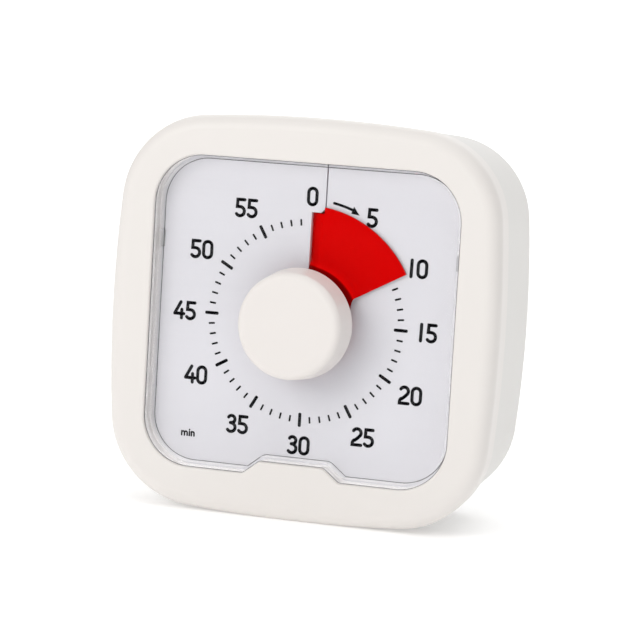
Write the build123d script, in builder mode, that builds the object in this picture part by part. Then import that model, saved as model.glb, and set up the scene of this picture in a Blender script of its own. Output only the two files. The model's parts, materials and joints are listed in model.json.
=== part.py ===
from build123d import *
import os
from math import cos, radians, sin, tan

# Sixty-minute visual kitchen timer: a white case with a clear window over a printed dial, a round
# knob in front, and a thin red disc that comes out of a slot in the dial to show the minutes left.
# Millimetres. X to the right and Z up as seen from the front, which faces -Y. The origin is under
# the middle of the whole timer, on the surface it stands on. Depths are counted backwards from the
# dial's face, and a piece's x and z are counted from the dial's centre.

# ---- case ----
case_side = 84.4
case_bow = 0.9
corner_radius = 19.5
base_flat = 0.25
case_lift = 0.3
face_depth = -4.6
seam_depth = 4.0
seam_gap = 0.4
back_depth = 32.6
face_wall = 2.2
side_wall = 2.2
back_wall = 2.4
draft_angle = 3.1
front_round = 3.0
back_round = 2.6
rear_side = 83.0
tongue_side = 78.7
tongue_wall = 1.4
tongue_length = 2.4
shelf_depth = 6.6

# ---- window and lens ----
window_half_width = 33.2
window_top = 33.3
window_bottom = -32.5
window_radius = 10.5
tab_top = -29.7
tab_top_half = 7.0
tab_base_half = 10.5
tab_radius = 1.2
window_skirt = 1.6
lens_gap = 0.1
lens_front = -4.0
lens_plate = 1.0
lens_skirt = 0.8
lens_lift = 0.05
lens_hole_radius = 5.6
leg_width = 3.0
leg_thickness = 0.9
leg_length = 2.6
peg_length = 0.6
socket_depth = 0.7
lens_pad = 0.7
leg_play = 0.4
leg_x = 32.65
leg_z = 14.8

# ---- dial ----
dial_thickness = 1.2
dial_margin = 1.2
dial_hole_radius = 9.9
slot_right = 3.15
slot_top = 22.9
slit_width = 0.3
slot_step = 0.8
pillar_radius = 2.7
pillar_root = 0.8
ear_boss_radius = 2.0

# ---- red disc ----
disc_radius = 24.3
disc_thickness = 0.3
disc_front_depth = -0.65
disc_rear_depth = 1.9
hub_radius = 9.4
hub_front = -1.6
hub_back = 2.4
set_angle = 60.0
ramp_bottom = 10.2
ramp_top = 22.7
ramp_end = 3.4

# ---- knob and its shaft ----
knob_front = -11.9
knob_back = -4.5
knob_base_radius = 11.65
knob_face_radius = 11.0
knob_edge_round = 1.5
knob_wall = 1.6
knob_boss_radius = 4.6
shaft_radius = 2.0
shaft_front = -9.6
shaft_back = 16.0
running_gap = 0.05
press_gap = 0.03

# ---- movement ----
movement_front_depth = 3.4
movement_plate = 1.0
movement_back_depth = 15.0
movement_cover = 1.2
movement_wall = 1.2
movement_half_width = 22.0
movement_bottom = -14.6
movement_top = 25.0
ear_x = 27.5
ear_z = 2.0
ear_radius = 3.0
ear_thickness = 1.5
pivot_radius = 0.4
arbor_radius = 0.55
pivot_depth = 0.7
rotor_pivot_radius = 0.3
cover_boss_radius = 1.9
stator_back = 12.2
stator_thickness = 0.8
core_x = -17.0
post_depth = 11.4
coil_depth = 11.8
coil_bottom = -9.6
coil_top = 6.8
flange = 0.8

# ---- gears: teeth, module and the heading from each arbor to the next ----
centre_teeth = 64
third_pinion_teeth = 8
third_teeth = 60
seconds_pinion_teeth = 8
seconds_teeth = 50
fast_pinion_teeth = 10
fast_teeth = 60
rotor_pinion_teeth = 10
third_module = 0.30
seconds_module = 0.25
fast_module = 0.24
rotor_module = 0.20
heading_to_third = 45.0
heading_to_seconds = 110.0
heading_to_fast = 185.0
heading_to_rotor = 200.0

# ---- battery and back ----
battery_radius = 7.1
battery_length = 49.2
battery_nub = 1.2
battery_z = -24.6
battery_depth = 22.4
bay_half_width = 27.4
bay_top = -16.4
bay_bottom = -32.8
bay_wall = 1.2
bay_floor_depth = 13.4
door_half_width = 27.0
door_thickness = 2.0
door_bottom = -32.4
door_pin_radius = 0.5
door_pin_length = 1.3
grip_z = 3.4
ribs_z = 8.0
rib_pitch = 1.8
screw_places = ((-28.0, 27.5), (28.0, 27.5), (-33.0, -21.0), (33.0, -21.0))
screw_radius = 1.0
screw_head_radius = 2.0
screw_head = 1.6
screw_length = 12.0
screw_boss_radius = 3.2
screw_recess_play = 0.4
small_screw_radius = 0.8
small_head_radius = 1.8
small_head = 1.1
pilot_radius = 0.85
clearance_radius = 0.95
cross_length = 2.6
cross_width = 0.6
cross_depth = 0.9
screw_seat_depth = 29.4
boss_front_depth = 27.6
board_depth = 24.6
board_thickness = 1.2
board_boss_radius = 2.3
board_pilot_depth = 29.6
board_screw_depth = 29.0
board_width = 44.0
board_height = 36.5
board_middle_z = 3.75
riser_back = 28.0
board_screw_places = ((-19.0, -8.0), (19.0, -8.0), (1.0, 20.0))
switch_x = 13.0
switch_z = 13.0
switch_travel = 4.0
switch_slot_width = 10.0
switch_slot_height = 4.0
switch_back = 29.2
slider_back = 32.3
buzzer_x = -11.0
buzzer_z = 12.0
buzzer_radius = 8.0
buzzer_back = 29.4
sound_hole_radius = 0.75
sound_inner_ring = 2.9
sound_outer_ring = 5.6
foot_radius = 4.0
foot_x = 20.0
foot_depth = 24.0
foot_top = 3.2

# ---- places worked out from the dimensions above ----
dial_y = -(knob_front + back_depth) / 2
case_z = case_side / 2 - base_flat
face_side = case_side + 2 * front_round * tan(radians(draft_angle))
dial_z = case_z - case_lift
hinge_z = bay_top - 0.3 - door_thickness / 2
hinge_depth = back_depth - door_thickness / 2

os.makedirs("parts", exist_ok=True)


def facing_front(depth, x=0.0, z=0.0):
    """Plane across the timer at a depth behind the dial's face. It looks forward, with x right and z up."""
    return Plane(origin=(x, dial_y + depth, dial_z + z), x_dir=(1, 0, 0), z_dir=(0, -1, 0))


def facing_back(depth):
    """Plane across the timer through the middle of the case. It looks backward."""
    return Plane(origin=(0, dial_y + depth, case_z), x_dir=(-1, 0, 0), z_dir=(0, 1, 0))


def save(piece, name):
    """Label a finished piece and write it under its own name."""
    piece.part.label = name
    export_step(piece.part, f"parts/{name}.step")


def case_outline(depth, side, inset=0.0):
    """Square with bowed sides and round corners: a small bowed square grown by the corner radius."""
    middle = side / 2 - corner_radius
    corner = middle - case_bow
    with BuildSketch(facing_back(depth)) as outline:
        with BuildLine():
            ThreePointArc((corner, -corner), (middle, 0), (corner, corner))
            ThreePointArc((corner, corner), (0, middle), (-corner, corner))
            ThreePointArc((-corner, corner), (-middle, 0), (-corner, -corner))
            ThreePointArc((-corner, -corner), (0, -middle), (corner, -corner))
        make_face()
        offset(amount=corner_radius - inset)
    return outline.sketch


def window_outline(depth, inset=0.0):
    """The window: a round-cornered square with a low tab standing up from its lower edge."""
    with BuildSketch(facing_front(depth)) as outline:
        with BuildLine():
            Polyline(
                (-window_half_width, window_top),
                (window_half_width, window_top),
                (window_half_width, window_bottom),
                (tab_base_half, window_bottom),
                (tab_top_half, tab_top),
                (-tab_top_half, tab_top),
                (-tab_base_half, window_bottom),
                (-window_half_width, window_bottom),
                close=True,
            )
        make_face()
        fillet(outline.vertices().filter_by(lambda v: abs(v.X) > tab_base_half + 1), window_radius)
        fillet(outline.vertices().filter_by(lambda v: abs(v.X) < tab_base_half + 1), tab_radius)
        if inset:
            offset(amount=-inset)
    return outline.sketch


def disc_sector(depth, start, sweep, inner, outer):
    """Ring sector on the dial's axis. Angles run clockwise from the top, as the minutes do."""
    with BuildSketch(facing_front(depth)) as sector:
        with BuildLine():
            first = 90 - start
            rim = CenterArc((0, 0), outer, first, -sweep)
            bore = CenterArc((0, 0), inner, first, -sweep)
            Line(rim @ 0, bore @ 0)
            Line(rim @ 1, bore @ 1)
        make_face()
    return sector.sketch


def gear_outline(depth, x, z, teeth, module, tooth_heading):
    """Toothed outline. tooth_heading is where one tooth points, in degrees from +X towards +Z."""
    pitch_radius = teeth * module / 2
    tip_radius = pitch_radius + 0.85 * module
    root_radius = pitch_radius - 1.10 * module
    flank = ((root_radius, -0.27), (tip_radius, -0.10), (tip_radius, 0.10), (root_radius, 0.27))
    points = []
    for tooth in range(teeth):
        middle = tooth_heading + tooth * 360 / teeth
        for radius, share in flank:
            angle = radians(middle + share * 360 / teeth)
            points.append((radius * cos(angle), radius * sin(angle)))
    with BuildSketch(facing_front(depth, x, z)) as outline:
        with BuildLine():
            Polyline(*points, close=True)
        make_face()
    return outline.sketch


def disc_outline(depth, x, z, radius):
    """Circle for a shaft, a boss or a hole."""
    with BuildSketch(facing_front(depth, x, z)) as outline:
        Circle(radius)
    return outline.sketch


def bar_outline(depth, x, z, width, height):
    """Rectangle centred on x and z."""
    with BuildSketch(facing_front(depth, x, z)) as outline:
        Rectangle(width, height)
    return outline.sketch


def next_arbor(place, heading, teeth, module):
    """Centre of the arbor that meshes with the one at place, in the direction heading."""
    reach = teeth * module / 2
    return (place[0] + reach * cos(radians(heading)), place[1] + reach * sin(radians(heading)))


third_place = next_arbor((0, 0), heading_to_third, centre_teeth + third_pinion_teeth, third_module)
seconds_place = next_arbor(
    third_place, heading_to_seconds, third_teeth + seconds_pinion_teeth, seconds_module
)
fast_place = next_arbor(seconds_place, heading_to_fast, seconds_teeth + fast_pinion_teeth, fast_module)
rotor_place = next_arbor(fast_place, heading_to_rotor, fast_teeth + rotor_pinion_teeth, rotor_module)

# ================================================================ case
with BuildPart() as front_shell:
    extrude(case_outline(face_depth, face_side), amount=seam_depth - face_depth, taper=draft_angle)
    fillet(front_shell.faces().sort_by(Axis.Y)[0].edges(), front_round)
    cavity_depth = face_depth + face_wall
    extrude(
        case_outline(cavity_depth, face_side, side_wall),
        amount=seam_depth - cavity_depth,
        taper=draft_angle,
        mode=Mode.SUBTRACT,
    )
    extrude(window_outline(0, -window_skirt), amount=-cavity_depth + 0.1)
    extrude(window_outline(0), amount=-face_depth, mode=Mode.SUBTRACT)
    window_rim = front_shell.faces().sort_by(Axis.Y)[0].inner_wires()[0].edges()
    fillet(window_rim, 0.45)
    split(bisect_by=Plane.XY, keep=Keep.TOP)
save(front_shell, "front_shell")

with BuildPart() as rear_shell:
    rim_depth = seam_depth + seam_gap
    extrude(case_outline(rim_depth, rear_side), amount=back_depth - rim_depth, taper=draft_angle)
    fillet(rear_shell.faces().sort_by(Axis.Y)[-1].edges(), back_round)
    extrude(case_outline(seam_depth - tongue_length, tongue_side), amount=tongue_length + seam_gap)
    extrude(
        case_outline(seam_depth - tongue_length, tongue_side, tongue_wall),
        amount=shelf_depth - seam_depth + tongue_length,
        mode=Mode.SUBTRACT,
    )
    extrude(
        case_outline(shelf_depth, rear_side, side_wall),
        amount=back_depth - back_wall - shelf_depth,
        taper=draft_angle,
        mode=Mode.SUBTRACT,
    )
    bay_z = (bay_top + bay_bottom) / 2
    bay_height = bay_top - bay_bottom
    extrude(
        bar_outline(back_depth - 1, 0, bay_z, 2 * (bay_half_width + bay_wall), bay_height + 2 * bay_wall),
        amount=back_depth - 1 - bay_floor_depth,
    )
    extrude(
        bar_outline(back_depth, 0, bay_z, 2 * bay_half_width, bay_height),
        amount=back_depth - bay_floor_depth - bay_wall,
        mode=Mode.SUBTRACT,
    )
    with BuildSketch(Plane(origin=(0, dial_y + hinge_depth, dial_z + hinge_z), z_dir=(1, 0, 0))):
        Circle(door_pin_radius + running_gap)
    extrude(amount=door_half_width + door_pin_length + 0.2, both=True, mode=Mode.SUBTRACT)
    for contact_x in (-bay_half_width + 0.6, bay_half_width - 0.6):
        extrude(
            bar_outline(riser_back + 0.3, contact_x, bay_top + bay_wall / 2, 0.7, bay_wall + 0.4),
            amount=riser_back + 0.6 - board_depth - board_thickness,
            mode=Mode.SUBTRACT,
        )
    for x, z in screw_places:
        extrude(
            disc_outline(back_depth - 1, x, z, screw_boss_radius),
            amount=back_depth - 1 - boss_front_depth,
        )
        extrude(
            disc_outline(back_depth, x, z, screw_head_radius + screw_recess_play),
            amount=back_depth - screw_seat_depth,
            mode=Mode.SUBTRACT,
        )
        extrude(disc_outline(back_depth, x, z, screw_radius + 0.15), amount=8, mode=Mode.SUBTRACT)
    board_boss_length = back_depth - 1 - board_depth - board_thickness
    for x, z in board_screw_places:
        extrude(disc_outline(back_depth - 1, x, z, board_boss_radius), amount=board_boss_length)
        extrude(disc_outline(board_pilot_depth, x, z, pilot_radius), amount=6, mode=Mode.SUBTRACT)
    with BuildSketch(facing_front(back_depth, buzzer_x, buzzer_z)):
        Circle(sound_hole_radius)
        with PolarLocations(sound_inner_ring, 6):
            Circle(sound_hole_radius)
        with PolarLocations(sound_outer_ring, 12):
            Circle(sound_hole_radius)
    extrude(amount=back_wall + 0.2, mode=Mode.SUBTRACT)
    with BuildSketch(facing_front(back_depth, switch_x, switch_z)):
        RectangleRounded(switch_slot_width, switch_slot_height, 0.8)
    extrude(amount=back_wall + 0.2, mode=Mode.SUBTRACT)
    with BuildSketch(Plane.XY):
        with Locations((-foot_x, dial_y + foot_depth), (foot_x, dial_y + foot_depth)):
            Circle(foot_radius + 0.1)
    extrude(amount=foot_top, mode=Mode.SUBTRACT)
save(rear_shell, "rear_shell")

with BuildPart() as feet:
    with BuildSketch(Plane.XY):
        with Locations((-foot_x, dial_y + foot_depth), (foot_x, dial_y + foot_depth)):
            Circle(foot_radius)
    extrude(amount=foot_top)
    chamfer(feet.faces().filter_by(Axis.Z).group_by(Axis.Z)[0].edges(), 0.4)
save(feet, "feet")

# ================================================================ lens and dial
leg_places = ((-leg_x, leg_z), (leg_x, leg_z))
peg_places = ((-leg_x, -leg_z), (leg_x, -leg_z))

with BuildPart() as lens:
    extrude(window_outline(-lens_lift, lens_gap), amount=-lens_front - lens_lift)
    extrude(window_outline(0, lens_gap + lens_skirt), amount=-lens_front - lens_plate, mode=Mode.SUBTRACT)
    extrude(disc_outline(0, 0, 0, lens_hole_radius), amount=-lens_front, mode=Mode.SUBTRACT)
    for x, z in leg_places:
        extrude(bar_outline(leg_length, x, z, leg_thickness, leg_width), amount=leg_length + 2 * lens_lift)
    for x, z in peg_places:
        extrude(bar_outline(peg_length, x, z, leg_thickness, leg_width), amount=peg_length + 2 * lens_lift)
    for x, z in leg_places + peg_places:
        extrude(bar_outline(0, x, z, leg_thickness, leg_width + 2 * lens_pad), amount=2 * lens_lift)
save(lens, "lens")

with BuildPart() as dial_plate:
    extrude(window_outline(dial_thickness, -dial_margin), amount=dial_thickness)
    extrude(disc_outline(dial_thickness, 0, 0, dial_hole_radius), amount=dial_thickness, mode=Mode.SUBTRACT)
    with BuildSketch(facing_front(dial_thickness)):
        with BuildLine():
            Polyline(
                (0, 0),
                (slot_right, 0),
                (slot_right, window_top + 5),
                (slot_right - slit_width, window_top + 5),
                (slot_right - slit_width, slot_top + slot_step),
                (slot_right - slit_width - slot_step, slot_top),
                (0, slot_top),
                close=True,
            )
        make_face()
    extrude(amount=dial_thickness, mode=Mode.SUBTRACT)
    for x, z in leg_places:
        extrude(
            bar_outline(dial_thickness, x, z, leg_thickness + leg_play, leg_width + leg_play),
            amount=dial_thickness,
            mode=Mode.SUBTRACT,
        )
    for x, z in peg_places:
        extrude(
            bar_outline(socket_depth, x, z, leg_thickness + leg_play, leg_width + leg_play),
            amount=socket_depth,
            mode=Mode.SUBTRACT,
        )
    for x, z in screw_places:
        extrude(disc_outline(boss_front_depth, x, z, pillar_radius), amount=boss_front_depth - pillar_root)
        extrude(
            disc_outline(boss_front_depth, x, z, screw_radius + running_gap),
            amount=screw_length,
            mode=Mode.SUBTRACT,
        )
    for x in (-ear_x, ear_x):
        extrude(
            disc_outline(movement_front_depth, x, ear_z, ear_boss_radius),
            amount=movement_front_depth - pillar_root,
        )
        extrude(
            disc_outline(movement_front_depth, x, ear_z, pilot_radius), amount=2.5, mode=Mode.SUBTRACT
        )
save(dial_plate, "dial_plate")

# ================================================================ red disc
with BuildPart() as disc_hub:
    extrude(disc_outline(hub_back, 0, 0, hub_radius), amount=hub_back - hub_front)
    extrude(disc_outline(hub_back, 0, 0, shaft_radius + press_gap), amount=10, mode=Mode.SUBTRACT)
    with BuildSketch(facing_front(hub_back)):
        Circle(hub_radius - 1.4)
        Circle(3.6, mode=Mode.SUBTRACT)
    extrude(amount=hub_back - hub_front - 1.2, mode=Mode.SUBTRACT)
save(disc_hub, "disc_hub")

with BuildPart() as disc_rear_sheet:
    hidden = disc_sector(
        disc_rear_depth + disc_thickness, set_angle - 360, 360 - set_angle, hub_radius, disc_radius
    )
    extrude(hidden, amount=disc_thickness)
save(disc_rear_sheet, "disc_rear_sheet")

with BuildPart() as disc_ramp_sheet:
    low = dial_thickness + 0.15
    high = disc_front_depth
    with BuildSketch(Plane.XY.offset(dial_z + ramp_bottom)):
        with BuildLine():
            Polyline(
                (-1.2, dial_y + low),
                (0.3, dial_y + low),
                (2.4, dial_y + high),
                (ramp_end, dial_y + high),
                (ramp_end, dial_y + high + disc_thickness),
                (2.55, dial_y + high + disc_thickness),
                (0.45, dial_y + low + disc_thickness),
                (-1.2, dial_y + low + disc_thickness),
                close=True,
            )
        make_face()
    extrude(amount=ramp_top - ramp_bottom)
save(disc_ramp_sheet, "disc_ramp_sheet")

front_sheet_back = disc_front_depth + disc_thickness

with BuildPart() as disc_middle_sheet:
    extrude(
        disc_sector(front_sheet_back, 0, set_angle / 2, hub_radius + 0.3, disc_radius), amount=disc_thickness
    )
    cut_edge = Plane(origin=(ramp_end + 0.3, 0, 0), z_dir=(1, 0, 0))
    split(bisect_by=cut_edge, keep=Keep.TOP)
save(disc_middle_sheet, "disc_middle_sheet")

with BuildPart() as disc_leading_sheet:
    leading = disc_sector(
        front_sheet_back, set_angle / 2 + 0.3, set_angle / 2 - 0.3, hub_radius + 0.3, disc_radius
    )
    extrude(leading, amount=disc_thickness)
save(disc_leading_sheet, "disc_leading_sheet")

# ================================================================ knob
with BuildPart() as knob:
    with BuildSketch(Plane(origin=(0, dial_y, dial_z), x_dir=(1, 0, 0), z_dir=(0, 0, 1))) as knob_half:
        with BuildLine():
            Polyline(
                (shaft_radius + press_gap, shaft_front),
                (shaft_radius + press_gap, hub_front),
                (knob_boss_radius, hub_front),
                (knob_boss_radius, knob_front + knob_wall),
                (knob_face_radius - knob_wall, knob_front + knob_wall),
                (knob_base_radius - knob_wall, knob_back),
                (knob_base_radius, knob_back),
                (knob_face_radius, knob_front),
                (0, knob_front),
                (0, shaft_front),
                close=True,
            )
        make_face()
        rim = knob_half.vertices().filter_by(lambda v: v.Y < knob_front + 0.1 and v.X > 1)
        fillet(rim, knob_edge_round)
        skirt = knob_half.vertices().filter_by(lambda v: v.X > knob_base_radius - 0.1)
        fillet(skirt, 0.3)
    revolve(axis=Axis((0, dial_y, dial_z), (0, 1, 0)))
save(knob, "knob")

with BuildPart() as knob_shaft:
    extrude(disc_outline(shaft_back, 0, 0, shaft_radius), amount=shaft_back - shaft_front - 0.1)
    extrude(disc_outline(5.1, 0, 0, 3.2), amount=0.35)
    chamfer(knob_shaft.faces().filter_by(Axis.Y).sort_by(Axis.Y)[-1].edges(), 0.3)
save(knob_shaft, "knob_shaft")

with BuildPart() as clutch_spring:
    with BuildSketch(facing_front(6.7)):
        Circle(4.0)
        Circle(shaft_radius + press_gap, mode=Mode.SUBTRACT)
        with PolarLocations(3.3, 3):
            Circle(0.55, mode=Mode.SUBTRACT)
    extrude(amount=0.4)
save(clutch_spring, "clutch_spring")

with BuildPart() as alarm_cam:
    with BuildSketch(facing_front(9.0)):
        Circle(4.0)
        Circle(shaft_radius + press_gap, mode=Mode.SUBTRACT)
        with Locations((0, 4.0)):
            Rectangle(1.4, 1.2, mode=Mode.SUBTRACT)
    extrude(amount=1.0)
save(alarm_cam, "alarm_cam")

# ================================================================ movement
arbor_places = (third_place, seconds_place, fast_place)
cover_screw_places = ((19.0, -12.0), (19.0, 22.0), (-18.5, 21.5))
movement_z = (movement_top + movement_bottom) / 2
movement_height = movement_top - movement_bottom


def movement_outline(depth, inset=0.0):
    """Outline of the movement's box with rounded corners."""
    with BuildSketch(facing_front(depth, 0, movement_z)) as outline:
        RectangleRounded(2 * (movement_half_width - inset), movement_height - 2 * inset, 3.0 - inset)
    return outline.sketch


with BuildPart() as movement_base:
    plate_back = movement_front_depth + movement_plate
    extrude(movement_outline(movement_back_depth), amount=movement_back_depth - movement_front_depth)
    extrude(
        movement_outline(movement_back_depth, movement_wall),
        amount=movement_back_depth - plate_back,
        mode=Mode.SUBTRACT,
    )
    for side in (-1, 1):
        ear_depth = movement_front_depth + ear_thickness
        extrude(disc_outline(ear_depth, side * ear_x, ear_z, ear_radius), amount=ear_thickness)
        bridge_x = side * (movement_half_width + ear_x) / 2
        extrude(
            bar_outline(ear_depth, bridge_x, ear_z, ear_x - movement_half_width + 0.6, 2 * ear_radius),
            amount=ear_thickness,
        )
        extrude(
            disc_outline(ear_depth, side * ear_x, ear_z, clearance_radius), amount=2, mode=Mode.SUBTRACT
        )
    for x, z in cover_screw_places:
        extrude(
            disc_outline(movement_back_depth, x, z, cover_boss_radius),
            amount=movement_back_depth - plate_back + 0.2,
        )
        extrude(disc_outline(movement_back_depth, x, z, pilot_radius), amount=5, mode=Mode.SUBTRACT)
    extrude(bar_outline(10.0, -5.0, -12.2, 3.2, 4.4), amount=10.0 - plate_back + 0.2)
    extrude(bar_outline(10.0, -4.35, -12.2, 0.35, 5.0), amount=2.4, mode=Mode.SUBTRACT)
    extrude(disc_outline(plate_back, 0, 0, shaft_radius + running_gap), amount=3, mode=Mode.SUBTRACT)
    for x, z in arbor_places:
        extrude(
            disc_outline(plate_back, x, z, pivot_radius + running_gap),
            amount=pivot_depth,
            mode=Mode.SUBTRACT,
        )
    extrude(
        disc_outline(plate_back, *rotor_place, rotor_pivot_radius + running_gap),
        amount=pivot_depth,
        mode=Mode.SUBTRACT,
    )
    for z in (-11.8, 9.0):
        extrude(bar_outline(post_depth, core_x, z, 2.4, 2.0), amount=post_depth - plate_back + 0.2)
save(movement_base, "movement_base")

with BuildPart() as movement_lid:
    lid_back = movement_back_depth + movement_cover
    extrude(movement_outline(lid_back), amount=movement_cover)
    for x, z in cover_screw_places:
        extrude(disc_outline(lid_back, x, z, clearance_radius), amount=movement_cover, mode=Mode.SUBTRACT)
    extrude(
        disc_outline(lid_back, 0, 0, shaft_radius + running_gap), amount=movement_cover, mode=Mode.SUBTRACT
    )
    for x, z in arbor_places:
        extrude(
            disc_outline(movement_back_depth + pivot_depth, x, z, pivot_radius + running_gap),
            amount=pivot_depth,
            mode=Mode.SUBTRACT,
        )
    extrude(
        disc_outline(movement_back_depth + pivot_depth, *rotor_place, rotor_pivot_radius + running_gap),
        amount=pivot_depth,
        mode=Mode.SUBTRACT,
    )
save(movement_lid, "movement_lid")

with BuildPart() as centre_wheel:
    extrude(gear_outline(6.2, 0, 0, centre_teeth, third_module, heading_to_third), amount=1.0)
    extrude(disc_outline(6.2, 0, 0, shaft_radius + running_gap), amount=1.0, mode=Mode.SUBTRACT)
    with BuildSketch(facing_front(6.2)):
        with PolarLocations(6.1, 5):
            Circle(1.7)
    extrude(amount=1.0, mode=Mode.SUBTRACT)
save(centre_wheel, "centre_wheel")


def train_wheel(place, wheel, pinion):
    """Moulded wheel, pinion and arbor in one. wheel and pinion give teeth, module, tooth heading, depths."""
    x, z = place
    wheel_teeth, wheel_module, wheel_heading, wheel_front, wheel_back = wheel
    pinion_teeth, pinion_module, pinion_heading, pinion_front, pinion_back = pinion
    lower_end = movement_front_depth + movement_plate - pivot_depth + 0.1
    upper_end = movement_back_depth + pivot_depth - 0.1
    with BuildPart() as moulding:
        extrude(
            gear_outline(wheel_back, x, z, wheel_teeth, wheel_module, wheel_heading),
            amount=wheel_back - wheel_front,
        )
        extrude(
            gear_outline(pinion_back, x, z, pinion_teeth, pinion_module, pinion_heading),
            amount=pinion_back - pinion_front,
        )
        extrude(disc_outline(upper_end - 0.9, x, z, arbor_radius), amount=upper_end - lower_end - 1.8)
        extrude(disc_outline(upper_end, x, z, pivot_radius), amount=upper_end - lower_end)
    return moulding


def gap_heading(heading_in, teeth):
    """Tooth heading that puts a gap, not a tooth, on the line back to the driving wheel."""
    return heading_in + 180 + 180 / teeth


third_wheel = train_wheel(
    third_place,
    (third_teeth, seconds_module, heading_to_seconds, 6.9, 7.6),
    (third_pinion_teeth, third_module, gap_heading(heading_to_third, third_pinion_teeth), 5.0, 7.0),
)
save(third_wheel, "third_wheel")

seconds_wheel = train_wheel(
    seconds_place,
    (seconds_teeth, fast_module, heading_to_fast, 8.3, 9.0),
    (seconds_pinion_teeth, seconds_module, gap_heading(heading_to_seconds, seconds_pinion_teeth), 6.7, 8.4),
)
save(seconds_wheel, "seconds_wheel")

fast_wheel = train_wheel(
    fast_place,
    (fast_teeth, rotor_module, heading_to_rotor, 9.7, 10.3),
    (fast_pinion_teeth, fast_module, gap_heading(heading_to_fast, fast_pinion_teeth), 8.1, 9.8),
)
save(fast_wheel, "fast_wheel")

with BuildPart() as rotor_pinion:
    rotor_low = movement_front_depth + movement_plate - pivot_depth + 0.1
    rotor_high = movement_back_depth + pivot_depth - 0.1
    pinion_tooth = gap_heading(heading_to_rotor, rotor_pinion_teeth)
    extrude(
        gear_outline(10.5, *rotor_place, rotor_pinion_teeth, rotor_module, pinion_tooth), amount=1.0
    )
    extrude(disc_outline(rotor_high, *rotor_place, rotor_pivot_radius), amount=rotor_high - rotor_low)
    extrude(disc_outline(10.9, *rotor_place, 0.6), amount=4.0)
save(rotor_pinion, "rotor_pinion")

with BuildPart() as rotor_magnet:
    extrude(disc_outline(12.6, *rotor_place, 2.4), amount=1.6)
    extrude(disc_outline(12.6, *rotor_place, rotor_pivot_radius + press_gap), amount=1.6, mode=Mode.SUBTRACT)
save(rotor_magnet, "rotor_magnet")

# The stator is cut from sheet: the coil's core, the far limb, the lower yoke and the pole piece.
stator_bars = (
    (core_x, 1.0, 3.0, 28.0),
    (-11.0, -0.5, 3.0, 25.0),
    (-14.0, -11.5, 9.0, 3.0),
    (-13.8, 12.6, 9.4, 4.8),
)

with BuildPart() as stator:
    for x, z, width, height in stator_bars:
        extrude(bar_outline(stator_back, x, z, width, height), amount=stator_thickness)
    extrude(disc_outline(stator_back, *rotor_place, 5.4), amount=stator_thickness)
    extrude(disc_outline(stator_back, *rotor_place, 2.9), amount=stator_thickness, mode=Mode.SUBTRACT)
save(stator, "stator")

def coil_block(bottom, top, half_x, half_depth):
    """Rectangular block round the stator's core, between two heights."""
    with BuildSketch(Plane.XY.offset(dial_z + bottom)) as block:
        with Locations((core_x, dial_y + coil_depth)):
            Rectangle(2 * half_x, 2 * half_depth)
    return extrude(block.sketch, amount=top - bottom, mode=Mode.PRIVATE)


with BuildPart() as coil_bobbin:
    add(coil_block(coil_bottom, coil_bottom + flange, 3.4, 3.0))
    add(coil_block(coil_top - flange, coil_top, 3.4, 3.0))
    add(coil_block(coil_bottom, coil_top, 1.9, 0.8))
    add(coil_block(coil_bottom - 1, coil_top + 1, 1.55, 0.45), mode=Mode.SUBTRACT)
save(coil_bobbin, "coil_bobbin")

with BuildPart() as coil_winding:
    add(coil_block(coil_bottom + flange, coil_top - flange, 3.2, 2.8))
    add(coil_block(coil_bottom, coil_top, 1.95, 0.85), mode=Mode.SUBTRACT)
save(coil_winding, "coil_winding")

with BuildPart() as alarm_contact:
    extrude(bar_outline(8.9, -4.35, -4.9, 0.15, 17.6), amount=0.8)
save(alarm_contact, "alarm_contact")

# ================================================================ board and electrics
with BuildPart() as circuit_board:
    board_back = board_depth + board_thickness
    with BuildSketch(facing_front(board_back, 0, board_middle_z)):
        RectangleRounded(board_width, board_height, 1.5)
    extrude(amount=board_thickness)
    for x, z in board_screw_places:
        extrude(
            disc_outline(board_back, x, z, clearance_radius), amount=board_thickness, mode=Mode.SUBTRACT
        )
save(circuit_board, "circuit_board")

with BuildPart() as timer_chip:
    extrude(disc_outline(board_depth, -6.0, -3.0, 4.2), amount=1.3)
    fillet(timer_chip.faces().sort_by(Axis.Y)[0].edges(), 1.0)
save(timer_chip, "timer_chip")

with BuildPart() as quartz_crystal:
    with BuildSketch(Plane(origin=(5.0, dial_y + board_depth - 1.05, dial_z - 6.0), z_dir=(1, 0, 0))):
        Circle(1.0)
    extrude(amount=6.0)
    fillet(quartz_crystal.edges(), 0.3)
save(quartz_crystal, "quartz_crystal")

with BuildPart() as buzzer:
    extrude(disc_outline(buzzer_back, buzzer_x, buzzer_z, buzzer_radius), amount=buzzer_back - board_back)
    extrude(disc_outline(buzzer_back, buzzer_x, buzzer_z, 1.5), amount=1.0, mode=Mode.SUBTRACT)
    chamfer(buzzer.faces().sort_by(Axis.Y)[-1].outer_wire().edges(), 0.4)
save(buzzer, "buzzer")

with BuildPart() as switch_body:
    extrude(bar_outline(switch_back, switch_x, switch_z, 10.0, 4.6), amount=switch_back - board_back)
    extrude(bar_outline(switch_back, switch_x, switch_z, 8.4, 2.6), amount=2.4, mode=Mode.SUBTRACT)
save(switch_body, "switch_body")

with BuildPart() as switch_slider:
    slider_x = switch_x - switch_travel / 2
    extrude(bar_outline(slider_back - 1.3, slider_x, switch_z, 2.4, 1.8), amount=4.0)
    extrude(bar_outline(slider_back, slider_x, switch_z, 4.8, 3.0), amount=1.4)
    for rib in (-1.5, -0.5, 0.5, 1.5):
        extrude(bar_outline(slider_back, slider_x + rib, switch_z, 0.4, 3.2), amount=0.4, mode=Mode.SUBTRACT)
save(switch_slider, "switch_slider")

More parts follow.
